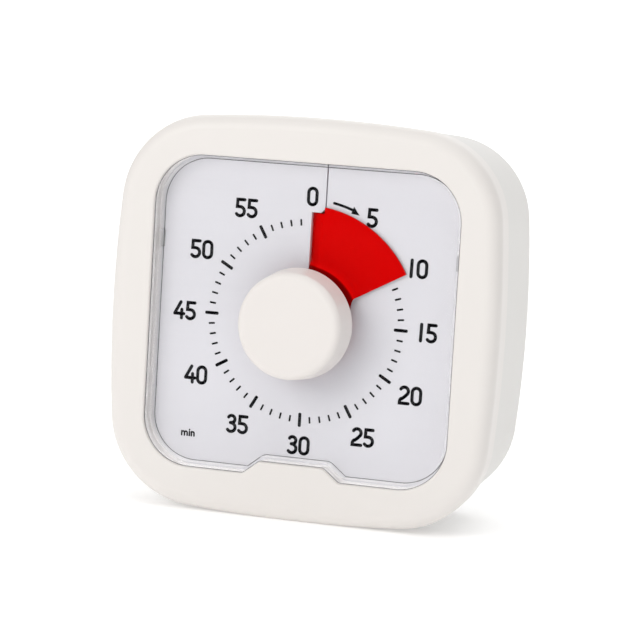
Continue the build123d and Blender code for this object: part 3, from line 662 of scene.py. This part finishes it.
# ---------------------------------------------------------------- operators
class TIMER_OT_stage(Operator):
    """Pale sweep, soft lights and the camera"""

    bl_idname = "timer.stage"
    bl_label = "Stage"

    def execute(self, context):
        settings = context.scene.timer_stage
        context.scene.view_settings.view_transform = "Standard"
        clear_selection()
        sweep_size, wall_height, bend_radius = 5.0, 2.6, 1.1
        bpy.ops.mesh.primitive_plane_add(size=sweep_size, location=(0, 0, cad_low.z))
        floor = settle(bpy.context.object, "sweep")
        edit(floor)
        far = sweep_size / 2 - 0.1
        pick(floor, lambda edge: all(vert.co.y > far for vert in edge.verts), "EDGE")
        bpy.ops.mesh.extrude_edges_move(TRANSFORM_OT_translate={"value": (0, 0, wall_height)})
        pick(floor, lambda edge: all(vert.co.y > far and vert.co.z < cad_low.z + 0.01 for vert in edge.verts),
             "EDGE")
        bpy.ops.mesh.bevel(offset=bend_radius, segments=24, affect="EDGES")
        leave_edit()
        bpy.ops.object.shade_smooth()
        material, tree, shader = blank_material("pale_sweep")
        skin = place_group(tree, "moulded_grain", Grain_Scale=700.0, Cloud_Scale=3.0)
        pale = two_colours(tree, skin.outputs["Cloud"], (0.93, 0.93, 0.93), (0.915, 0.915, 0.918))
        tree.links.new(pale, shader.inputs["Base Color"])
        shader.inputs["Roughness"].default_value = 0.85
        shader.inputs["Specular IOR Level"].default_value = 0.2
        shader.inputs["Emission Color"].default_value = (1.0, 1.0, 1.0, 1.0)
        shader.inputs["Emission Strength"].default_value = settings.floor_glow
        floor.data.materials.append(material)

        world = bpy.data.worlds.new("even_white")
        world.use_nodes = True
        world.node_tree.nodes["Background"].inputs["Color"].default_value = (1.0, 1.0, 1.0, 1.0)
        world.node_tree.nodes["Background"].inputs["Strength"].default_value = settings.sky
        context.scene.world = world

        # name, place, aim, width, height, spread in degrees, power, colour
        white = (1.0, 1.0, 1.0)
        centre = (0.0, 0.0, DIAL.z)
        lamps = (
            ("key_left", (-0.46, -0.92, 0.50), centre, 0.7, 0.6, 180, settings.key, (1.0, 0.99, 0.97)),
            ("top_light", (0.15, -0.28, 0.92), centre, 0.9, 0.7, 180, settings.top, white),
            ("floor_wash", (0.0, 1.15, 1.3), (0.0, 0.5, 0.0), 2.4, 1.2, 120, settings.floor_wash, white),
            ("back_wash", (0.0, 1.1, 1.9), (0.0, 2.5, 0.6), 3.0, 1.4, 140, settings.back_wash, white),
        )
        for name, place, aim, width, height, spread, power, colour in lamps:
            clear_selection()
            bpy.ops.object.light_add(type="AREA", location=place)
            lamp = bpy.context.object
            lamp.name = name
            lamp.data.shape = "RECTANGLE"
            lamp.data.size = width
            lamp.data.size_y = height
            lamp.data.spread = math.radians(spread)
            lamp.data.energy = power
            lamp.data.color = colour
            lamp.rotation_euler = (Vector(aim) - Vector(place)).to_track_quat("-Z", "Y").to_euler()

        azimuth, elevation = settings.azimuth, settings.elevation
        back = Vector((math.sin(azimuth) * math.cos(elevation), -math.cos(azimuth) * math.cos(elevation),
                       math.sin(elevation)))
        level_right = (-back).cross(Vector((0, 0, 1))).normalized()
        level_up = level_right.cross(-back)
        right = math.cos(settings.roll) * level_right + math.sin(settings.roll) * level_up
        up = -math.sin(settings.roll) * level_right + math.cos(settings.roll) * level_up
        place = DIAL + back * settings.distance + right * settings.slide_right + up * settings.slide_up
        clear_selection()
        bpy.ops.object.camera_add(location=place)
        camera = bpy.context.object
        camera.name = "camera"
        camera.rotation_euler = Matrix((right, up, back)).transposed().to_euler()
        camera.data.lens = settings.lens
        camera.data.sensor_width = 36.0
        camera.data.clip_start = 0.01
        camera.data.clip_end = 20.0
        context.scene.camera = camera
        return {"FINISHED"}


class TIMER_OT_case_finish(Operator):
    """Finishes of the two shells, the feet and the screws"""

    bl_idname = "timer.case_finish"
    bl_label = "Case finish"

    def execute(self, context):
        colours = context.scene.timer_colours
        front = moulded_plastic("white_front_moulding", colours.front, 0.42, grain=2400.0, cloud=0.012)
        rear = moulded_plastic("white_rear_moulding", colours.rear, 0.46, grain=2000.0, depth=0.000006,
                               cloud=0.015)
        rubber = moulded_plastic("foot_rubber_finish", (0.30, 0.30, 0.31), 0.72, grain=1500.0, depth=0.00001,
                                 cloud=0.2)
        steel = rubbed_metal("bright_screw_steel", (0.62, 0.61, 0.59), 0.28)
        finish_nodes(front, "front_shell")
        finish_nodes(rear, "rear_shell", "battery_door")
        finish_nodes(rubber, "feet")
        finish_nodes(steel, "case_screws", "movement_screws", "board_screws", "knob_shaft", "quartz_crystal")
        return {"FINISHED"}


class TIMER_OT_window(Operator):
    """Finish of the clear window and the two fine dark lines of painted shade round it"""

    bl_idname = "timer.window"
    bl_label = "Clear window"

    # depths of the window's plate, in millimetres from the dial's centre
    plate_front = -4.0
    plate_back = -3.0

    def line(self, name, depth, shift, radius, shadow):
        """A fine dark line of painted shade that follows the window's outline where its plate turns into its
        skirt.
        """
        outline = copy_of(frame["nodes"]["lens"], Matrix.Identity(4))
        outline.parent = None
        edit(outline)
        bpy.ops.mesh.select_all(action="SELECT")
        bpy.ops.mesh.remove_doubles(threshold=0.000002)
        level = DIAL.y + depth * MM

        def on_outline(edge):
            level_edge = all(abs(vert.co.y - level) < 0.00002 for vert in edge.verts)
            outside = all(math.hypot(vert.co.x - DIAL.x, vert.co.z - DIAL.z) > 0.02 for vert in edge.verts)
            tilts = sorted(abs(face.normal.y) for face in edge.link_faces)
            return level_edge and outside and len(tilts) == 2 and tilts[0] < 0.3 and tilts[1] > 0.9

        pick(outline, on_outline, "EDGE")
        bpy.ops.mesh.duplicate()
        bpy.ops.mesh.separate(type="SELECTED")
        leave_edit()
        piece = [other for other in bpy.context.selected_objects if other != outline][0]
        bpy.data.objects.remove(outline)
        piece.data.transform(Matrix.Translation((0, shift * MM, 0)))
        make_active(piece)
        bpy.ops.object.convert(target="CURVE")
        piece = bpy.context.object
        piece.data.bevel_depth = radius * MM
        piece.data.bevel_resolution = 1
        bpy.ops.object.convert(target="MESH")
        return dress(settle(bpy.context.object, name), shadow, "case")

    def execute(self, context):
        shadow = moulded_plastic("window_line_shadow", (0.03, 0.03, 0.033), 0.7, cloud=0.2)
        finish_nodes(clear_plastic("clear_window"), "lens")
        # depth of the outline that is followed, shift from there and radius: one at the foot of the skirt on
        # the dial, one in the gap round the plate. They are dark pieces of painted shade along the clear
        # edges.
        self.line("window_foot_shade_line", self.plate_back, -self.plate_back - 0.03, 0.07, shadow)
        self.line("window_gap_shade_line", self.plate_front, 0.05, 0.052, shadow)
        return {"FINISHED"}


class TIMER_OT_knob(Operator):
    """Finish of the knob and its hub"""

    bl_idname = "timer.knob"
    bl_label = "Knob"

    def execute(self, context):
        colours = context.scene.timer_colours
        knob = moulded_plastic("white_knob_moulding", colours.knob, 0.36, grain=3000.0, depth=0.0000025,
                               cloud=0.012, wander=0.10)
        knob.node_tree.nodes["Principled BSDF"].inputs["Specular IOR Level"].default_value = 0.2
        hub = moulded_plastic("red_hub_moulding", colours.red, 0.38, cloud=0.25)
        finish_nodes(knob, "knob")
        finish_nodes(hub, "disc_hub")
        return {"FINISHED"}


class TIMER_OT_dial(Operator):
    """Finish of the dial plate"""

    bl_idname = "timer.dial"
    bl_label = "Dial plate"

    def execute(self, context):
        colours = context.scene.timer_colours
        material, tree, shader = blank_material("pale_dial_lacquer")
        skin = place_group(tree, "moulded_grain", Grain_Scale=3600.0, Cloud_Scale=60.0)
        add_gloss(tree, shader, Roughness=0.55, Wander=0.05)
        streaks = add_node(tree, "TexNoise", [(stretched_place(tree, (0.02, 1.0, 1.0)), "Vector")],
                           Scale=1400.0, Detail=2.0, Roughness=0.5)
        mask = maths(tree, "MULTIPLY", skin.outputs["Cloud"], streaks.outputs["Fac"])
        pale = two_colours(tree, mask, colours.dial, shade(colours.dial, 0.965))
        tree.links.new(pale, shader.inputs["Base Color"])
        add_bump(tree, shader, skin.outputs["Height"], 0.3, 0.000003)
        finish_nodes(material, "dial_plate")
        return {"FINISHED"}


def ink_material(context):
    """Printed ink with a slight break-up."""
    name = "black_ink"
    found = bpy.data.materials.get(name)
    if found:
        return found
    ink = moulded_plastic(name, context.scene.timer_colours.ink, 0.5, grain=5200.0, depth=0.000003, cloud=0.0,
                          second=(0.005, 0.005, 0.006), wander=0.1)
    ink.node_tree.nodes["Principled BSDF"].inputs["Specular IOR Level"].default_value = 0.0
    return ink


class TIMER_OT_ticks(Operator):
    """Sixty ticks round the dial"""

    bl_idname = "timer.ticks"
    bl_label = "Dial ticks"

    def tick(self, length, width, radius, height):
        """One round-ended tick at the top of the ring."""
        clear_selection()
        bpy.ops.mesh.primitive_plane_add(size=1, location=DIAL + Vector((0, -height, radius)),
                                         rotation=(math.pi / 2, 0, 0))
        piece = bpy.context.object
        piece.scale = (width, length, 1.0)
        settle(piece)
        edit(piece)
        bpy.ops.mesh.select_all(action="SELECT")
        bpy.ops.mesh.bevel(offset=width * 0.40, offset_type="OFFSET", segments=4, affect="VERTICES",
                           clamp_overlap=False)
        leave_edit()
        use_modifier(piece, "SOLIDIFY", thickness=height * 1.5, offset=-1.0)
        return piece

    def execute(self, context):
        settings = context.scene.timer_dial
        ink = ink_material(context)
        over_the_slot = (0, 1)  # minutes where the dial is open, so nothing is printed
        kinds = (
            ("dial_ticks_five", settings.major_length, settings.major_width,
             [minute for minute in range(60) if minute % 5 == 0]),
            ("dial_ticks_minute", settings.minor_length, settings.minor_width,
             [minute for minute in range(60) if minute % 5]),
        )
        for name, length, width, minutes in kinds:
            first = self.tick(length, width, settings.ring_radius, settings.ink_height)
            copies = [copy_of(first, turn_about_dial(math.radians(6 * minute)))
                      for minute in minutes if minute not in over_the_slot]
            bpy.data.objects.remove(first)
            dress(join(copies, name), ink, "case")
        return {"FINISHED"}


class TIMER_OT_numbers(Operator):
    """Minute numbers round the dial and the unit below"""

    bl_idname = "timer.numbers"
    bl_label = "Dial numbers"

    # millimetres: how much closer a digit stands to a one, the unit's place and its stroke
    narrow_one = 0.3
    unit_place = (-24.6, -26.1)
    unit_stroke = 0.34

    def execute(self, context):
        settings = context.scene.timer_dial
        ink = ink_material(context)
        stroke = settings.number_stroke / MM
        height = settings.ink_height * 1.5 / MM
        sink = -settings.ink_height / MM
        centres = {
            "0": (0.0, 26.13), "5": (13.2, 22.7), "10": (23.31, 13.05), "15": (26.2, 0.0),
            "20": (23.6, -13.3), "25": (14.0, -23.0), "30": (0.0, -26.1), "35": (-13.7, -23.0),
            "40": (-23.5, -13.4), "45": (-26.7, 0.0), "50": (-23.7, 13.2), "55": (-14.3, 22.6),
        }
        masters = {digit: glyph(digit, stroke, height) for digit in "012345"}
        copies = []
        for number, (x, z) in centres.items():
            pitch = settings.number_pitch / MM - (self.narrow_one if number.startswith("1") else 0.0)
            for index, digit in enumerate(number):
                offset = (index - (len(number) - 1) / 2) * pitch
                copies.append(place_on_dial(masters[digit], x + offset, z, sink))
        for master in masters.values():
            bpy.data.objects.remove(master)
        dress(join(copies, "dial_numbers"), ink, "case")
        letters = {letter: glyph(letter, self.unit_stroke, height) for letter in "min"}
        x, z = self.unit_place
        unit = [place_on_dial(letters[letter], x + offset, z, sink)
                for letter, offset in (("m", -0.75), ("i", 0.35), ("n", 1.1))]
        for master in letters.values():
            bpy.data.objects.remove(master)
        dress(join(unit, "dial_unit"), ink, "case")
        return {"FINISHED"}


class TIMER_OT_arrow(Operator):
    """Curved arrow that shows which way the knob winds up"""

    bl_idname = "timer.arrow"
    bl_label = "Dial arrow"

    # millimetres: width of the shaft, half the head's width, the head's hold on the shaft, the point's droop
    shaft_width = 0.56
    half_head = 0.80
    overlap = 0.12
    droop = 0.35

    def execute(self, context):
        settings = context.scene.timer_dial
        height = settings.ink_height * 1.5 / MM
        radius = settings.arrow_radius / MM
        head = math.radians(3.9)
        steps = 12
        sweep = settings.arrow_end - head - settings.arrow_start
        angles = [settings.arrow_start + sweep * step / steps for step in range(steps + 1)]
        line = [(radius * math.sin(angle), radius * math.cos(angle)) for angle in angles]
        shaft = draw_stroke(line, False, self.shaft_width, height)
        clear_selection()
        bpy.ops.mesh.primitive_circle_add(vertices=3, radius=1.0, fill_type="NGON",
                                          rotation=(math.pi / 2, 0, 0))
        tip = settle(bpy.context.object)
        middle = settings.arrow_end - head
        out = Vector((math.sin(middle), 0, math.cos(middle)))
        along = Vector((math.cos(middle), 0, -math.sin(middle)))
        base = out * (radius - 0.02) - along * self.overlap
        end = settings.arrow_end
        point = Vector((math.sin(end), 0, math.cos(end))) * (radius - self.droop)
        corners = (base + out * self.half_head, base - out * self.half_head, point)
        edit(tip)
        mesh = bmesh.from_edit_mesh(tip.data)
        for vert, corner in zip(mesh.verts, corners):
            vert.co = corner
        bmesh.update_edit_mesh(tip.data)
        thicken_from_front(tip, height)
        use_modifier(shaft, "BOOLEAN", operation="UNION", solver="EXACT", object=tip)
        bpy.data.objects.remove(tip)
        arrow = place_on_dial(shaft, 0, 0, -settings.ink_height / MM)
        bpy.data.objects.remove(shaft)
        dress(settle(arrow, "dial_arrow"), ink_material(context), "case")
        return {"FINISHED"}


def red_sheet_film(context):
    """Red film, with painted shade and a painted highlight in a ring on the collar under the knob, and
    painted shade on its cut edges.
    """
    red = moulded_plastic("red_sheet_film", context.scene.timer_colours.red, 0.5, grain=3800.0,
                          depth=0.0000015, cloud=0.06, wander=0.06)
    tree = red.node_tree
    shader = tree.nodes["Principled BSDF"]
    shader.inputs["Specular IOR Level"].default_value = 0.0
    place = add_node(tree, "TexCoord")
    from_dial = add_node(tree, "Mapping", [(place.outputs["Object"], "Vector")])
    from_dial.inputs["Location"].default_value = (-DIAL.x, 0.0, -DIAL.z)
    from_dial.inputs["Scale"].default_value = (1.0, 0.0, 1.0)
    radius = add_node(tree, "VectorMath", [(from_dial.outputs["Vector"], 0)], operation="LENGTH")
    across = remap(tree, radius.outputs["Value"], 10 * MM, 14 * MM)
    # painted light in rings round the dial's centre: below 1 is painted shade under the knob's rim, above 1 a
    # painted highlight on the collar
    shade_and_highlight_greys = ((0.40, 0.30), (0.45, 0.62), (0.50, 1.25), (0.58, 1.12), (0.68, 1.0))
    painted_collar_light = stops_of(tree, across, [(position, (grey, grey, grey)) for position, grey in shade_and_highlight_greys])
    # painted shade on the cut edges: faces that turn neither to the front nor to the back are darker
    painted_edge_shade = remap(tree, facing(tree)[1], 0.3, 0.7, 0.25, 1.0)
    base = shader.inputs["Base Color"].links[0].from_socket
    red_with_painted_light = multiplied(tree, base, multiplied(tree, painted_collar_light, painted_edge_shade))
    tree.links.new(red_with_painted_light, shader.inputs["Base Color"])
    return red


class TIMER_OT_red_disc(Operator):
    """Red disc in front of the dial, and its ramp in the slot"""

    bl_idname = "timer.red_disc"
    bl_label = "Red disc"

    # millimetres from the dial's centre, but for the tail's sweep
    front_depth = -0.5
    rear_depth = 1.5
    ramp_reach = 1.1
    ramp_top = 22.75
    tail_radius = 12.2
    tail_sweep = 22  # degrees

    def rise(self, settings, radius):
        """Height of the collar at a radius, in metres."""
        share = (settings.collar_radius - radius) / (settings.collar_radius - settings.inner_radius)
        share = min(1.0, max(0.0, share))
        return settings.collar_rise * share * share * (3 - 2 * share) if share else 0.0

    def ends(self, settings, radius):
        """Where the sheet starts at the slit and ends at its leading edge, as angles, at a radius."""
        start = math.asin(settings.slit_offset / radius)
        tail = self.tail_radius * MM
        share = max(0.0, (tail - radius) / (tail - settings.inner_radius))
        return start, settings.set_angle + math.radians(self.tail_sweep) * share ** 2.2

    def radii(self, settings):
        """Radii of the mesh's rings, closer together on the collar."""
        inner, collar, outer = settings.inner_radius, settings.collar_radius, settings.outer_radius
        close = [inner + (collar - inner) * step / 12 for step in range(12)]
        wide = [collar + (outer - collar) * step / 8 for step in range(9)]
        return close + wide

    def shaped_grid(self, name, columns, rows, place, thickness):
        """A thin sheet: each point of a grid is placed by its shares across and up."""
        clear_selection()
        bpy.ops.mesh.primitive_grid_add(x_subdivisions=columns, y_subdivisions=rows, size=1,
                                        rotation=(math.pi / 2, 0, 0))
        piece = settle(bpy.context.object, name)
        for vert in piece.data.vertices:
            vert.co = DIAL + Vector(place(vert.co.x + 0.5, vert.co.z + 0.5))
        use_modifier(piece, "SOLIDIFY", thickness=thickness, offset=0.0)
        make_active(piece)
        bpy.ops.object.shade_smooth_by_angle(angle=math.radians(40))
        return piece

    def sheet(self, settings, name, share_from, share_to, red):
        """One half of the disc, as a thin sheet."""
        rings = self.radii(settings)
        columns, rows = settings.columns, len(rings) - 1

        def place(across, up):
            ring = rings[round(up * rows)]
            start, end = self.ends(settings, ring)
            share = share_from + (share_to - share_from) * round(across * columns) / columns
            angle = start + (end - start) * share
            depth = self.front_depth * MM - self.rise(settings, ring)
            return ring * math.sin(angle), depth, ring * math.cos(angle)

        piece = self.shaped_grid(name, columns, rows, place, settings.thickness)
        piece.data.materials.append(red)
        return piece

    def fan(self, settings, piece, first, second, share_from, share_to):
        """Bakes the sheet's placing into its mesh."""
        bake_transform(piece)

    def ramp(self, settings, red):
        """The part of the sheet that climbs through the dial's slot."""
        left, right = -self.ramp_reach * MM, settings.slit_offset + 0.02 * MM
        top = self.ramp_top * MM
        climb_end = settings.slit_offset - 0.2 * MM

        def place(across, up):
            x = left + (right - left) * across
            bottom = math.sqrt(settings.inner_radius ** 2 - x * x)
            z = bottom + (top - bottom) * up ** 1.6
            climb = min(1.0, max(0.0, x / climb_end))
            climb = climb * climb * (3 - 2 * climb)
            depth = (self.rear_depth + (self.front_depth - self.rear_depth) * climb) * MM
            return x, depth - self.rise(settings, math.hypot(x, z)), z

        piece = self.shaped_grid("red_ramp", 24, 40, place, settings.thickness)
        return dress(piece, red, "case")

    def execute(self, context):
        settings = context.scene.timer_disc
        red = red_sheet_film(context)
        finish_nodes(red, "disc_rear_sheet")
        near = self.sheet(settings, "red_sheet_near", 0.0, 0.5, red)
        self.fan(settings, near, "case", "disc_middle", 0.0, 0.5)
        far = self.sheet(settings, "red_sheet_far", 0.5, 1.0, red)
        self.fan(settings, far, "disc_middle", "disc_leading", 0.5, 1.0)
        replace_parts(near, "disc_middle_sheet")
        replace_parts(far, "disc_leading_sheet")
        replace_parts(self.ramp(settings, red), "disc_ramp_sheet")
        return {"FINISHED"}


class TIMER_OT_back_marks(Operator):
    """Raised marks on the back: loudness bars under the switch and an arrow on the battery door"""

    bl_idname = "timer.back_marks"
    bl_label = "Back marks"

    # millimetres: how thick the marks are, how far they stand out, and how far below the switch the bars are
    height = 0.35
    proud = 0.22
    below_switch = 4.4
    door_mark_z = -20.6

    def place_on_back(self, piece, x, z, back):
        """A copy of a flat piece drawn in millimetres, turned to face backward."""
        place = Vector((DIAL.x + x * MM, back, DIAL.z + z * MM))
        matrix = Matrix.Translation(place) @ Matrix.Rotation(math.pi, 4, "Z") @ Matrix.Scale(MM, 4)
        return copy_of(piece, matrix)

    def execute(self, context):
        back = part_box("rear_shell")[1].y + self.proud * MM
        slider_low, slider_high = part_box("switch_slider")
        middle = (slider_low + slider_high) / 2 - DIAL
        bars = []
        for x, reach in ((-2.6, 0.5), (3.4, 0.5), (2.4, 0.9), (1.4, 1.3)):
            bar = draw_stroke([(0.0, -reach), (0.0, 0.0), (0.0, reach)], False, 0.5, self.height)
            bars.append(self.place_on_back(bar, middle.x / MM + x, middle.z / MM - self.below_switch, back))
            bpy.data.objects.remove(bar)
        rear = bpy.data.materials["white_rear_moulding"]
        dress(join(bars, "loudness_bars"), rear, "case")
        chevron = draw_stroke([(-2.0, 0.9), (0.0, -0.9), (2.0, 0.9)], False, 0.6, self.height)
        door_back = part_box("battery_door")[1].y + self.proud * MM
        door = self.place_on_back(chevron, 0.0, self.door_mark_z, door_back)
        bpy.data.objects.remove(chevron)
        dress(settle(door, "door_arrow"), rear, "door")
        return {"FINISHED"}


class TIMER_OT_movement(Operator):
    """Finishes of the movement, its train and its motor"""

    bl_idname = "timer.movement"
    bl_label = "Movement"

    def execute(self, context):
        black = moulded_plastic("movement_black_moulding", (0.035, 0.036, 0.038), 0.5, cloud=0.0,
                                second=(0.05, 0.05, 0.052))
        white = moulded_plastic("gear_white_moulding", (0.78, 0.77, 0.72), 0.38, cloud=0.05)
        amber = moulded_plastic("gear_amber_moulding", (0.60, 0.33, 0.09), 0.36, cloud=0.12)
        spring = rubbed_metal("spring_steel_strip", (0.70, 0.67, 0.58), 0.24, tarnish=0.15)
        magnet = rubbed_metal("sintered_magnet", (0.16, 0.16, 0.165), 0.46, stretch=1800.0)
        laminations = rubbed_metal("stator_laminations", (0.42, 0.43, 0.44), 0.34)
        copper = rubbed_metal("enamelled_copper", (0.62, 0.25, 0.10), 0.30, stretch=2200.0)
        bobbin = moulded_plastic("bobbin_moulding", (0.70, 0.68, 0.60), 0.42, cloud=0.06)
        finish_nodes(black, "movement_base", "movement_lid")
        finish_nodes(white, "alarm_cam", "seconds_wheel", "fast_wheel", "third_wheel", "rotor_pinion")
        finish_nodes(amber, "centre_wheel")
        finish_nodes(spring, "clutch_spring", "alarm_contact", "contact_plus", "contact_minus")
        finish_nodes(magnet, "rotor_magnet")
        finish_nodes(laminations, "stator")
        finish_nodes(copper, "coil_winding")
        finish_nodes(bobbin, "coil_bobbin")
        return {"FINISHED"}


class TIMER_OT_board(Operator):
    """Finishes of the circuit board and what stands on it"""

    bl_idname = "timer.board"
    bl_label = "Circuit board"

    def execute(self, context):
        board = moulded_plastic("green_solder_mask", (0.012, 0.11, 0.045), 0.34, grain=900.0, depth=0.00001,
                                cloud=0.0, second=(0.02, 0.17, 0.07), coat=0.4)
        epoxy = moulded_plastic("black_epoxy", (0.012, 0.012, 0.013), 0.34, cloud=0.0,
                                second=(0.02, 0.02, 0.021))
        black = moulded_plastic("part_black_moulding", (0.025, 0.025, 0.027), 0.46, cloud=0.0,
                                second=(0.035, 0.035, 0.037))
        finish_nodes(board, "circuit_board")
        finish_nodes(epoxy, "timer_chip")
        finish_nodes(black, "buzzer", "switch_body", "switch_slider")
        return {"FINISHED"}


class TIMER_OT_battery(Operator):
    """Finish of the battery"""

    bl_idname = "timer.battery"
    bl_label = "Battery"

    def execute(self, context):
        low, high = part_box("battery")
        material, tree, shader = blank_material("battery_sleeve")
        add_gloss(tree, shader, Roughness=0.3, Wander=0.1)
        marks = place_group(tree, "fine_scratches", Scale=900.0)
        place = add_node(tree, "TexCoord")
        split = add_node(tree, "SeparateXYZ", [(place.outputs["Object"], "Vector")])
        along = remap(tree, split.outputs["X"], low.x, high.x)
        foot, cap = 0.025, 0.955  # where the sleeve begins and ends
        steel, white, black = (0.62, 0.62, 0.62), (1.0, 1.0, 1.0), (0.0, 0.0, 0.0)
        bands = ((0.0, steel), (foot, (0.035, 0.04, 0.055)), (0.70, (0.72, 0.70, 0.66)),
                 (0.72, (0.10, 0.28, 0.42)), (cap, steel))
        metal = ((0.0, white), (foot, black), (cap, white))
        for stops, socket in ((bands, "Base Color"), (metal, "Metallic")):
            tree.links.new(stops_of(tree, along, stops, "CONSTANT"), shader.inputs[socket])
        add_bump(tree, shader, marks.outputs["Height"], 0.3, 0.000002)
        finish_nodes(material, "battery")
        return {"FINISHED"}


class TIMER_PT_panel(Panel):
    """Lists the timer's operators"""

    bl_idname = "TIMER_PT_panel"
    bl_label = "Kitchen timer"
    bl_space_type = "VIEW_3D"
    bl_region_type = "UI"
    bl_category = "Timer"

    def draw(self, context):
        for kind in OPERATORS:
            self.layout.operator(kind.bl_idname)


OPERATORS = (
    TIMER_OT_stage,
    TIMER_OT_case_finish,
    TIMER_OT_window,
    TIMER_OT_dial,
    TIMER_OT_ticks,
    TIMER_OT_numbers,
    TIMER_OT_arrow,
    TIMER_OT_red_disc,
    TIMER_OT_knob,
    TIMER_OT_back_marks,
    TIMER_OT_movement,
    TIMER_OT_board,
    TIMER_OT_battery,
)
SETTINGS = {
    "timer_dial": TimerDialSettings,
    "timer_disc": TimerDiscSettings,
    "timer_colours": TimerColours,
    "timer_stage": TimerStageSettings,
}


def register():
    for kind in (*SETTINGS.values(), *OPERATORS, TIMER_PT_panel):
        bpy.utils.register_class(kind)
    for name, kind in SETTINGS.items():
        setattr(bpy.types.Scene, name, PointerProperty(type=kind))


def unregister():
    for name in SETTINGS:
        delattr(bpy.types.Scene, name)
    for kind in reversed((*SETTINGS.values(), *OPERATORS, TIMER_PT_panel)):
        bpy.utils.unregister_class(kind)


def main():
    """Builds everything in order."""
    register()
    bpy.ops.timer.stage()
    bpy.ops.timer.case_finish()
    bpy.ops.timer.window()
    bpy.ops.timer.dial()
    bpy.ops.timer.ticks()
    bpy.ops.timer.numbers()
    bpy.ops.timer.arrow()
    bpy.ops.timer.red_disc()
    bpy.ops.timer.knob()
    bpy.ops.timer.back_marks()
    bpy.ops.timer.movement()
    bpy.ops.timer.board()
    bpy.ops.timer.battery()


if __name__ == "__main__":
    main()
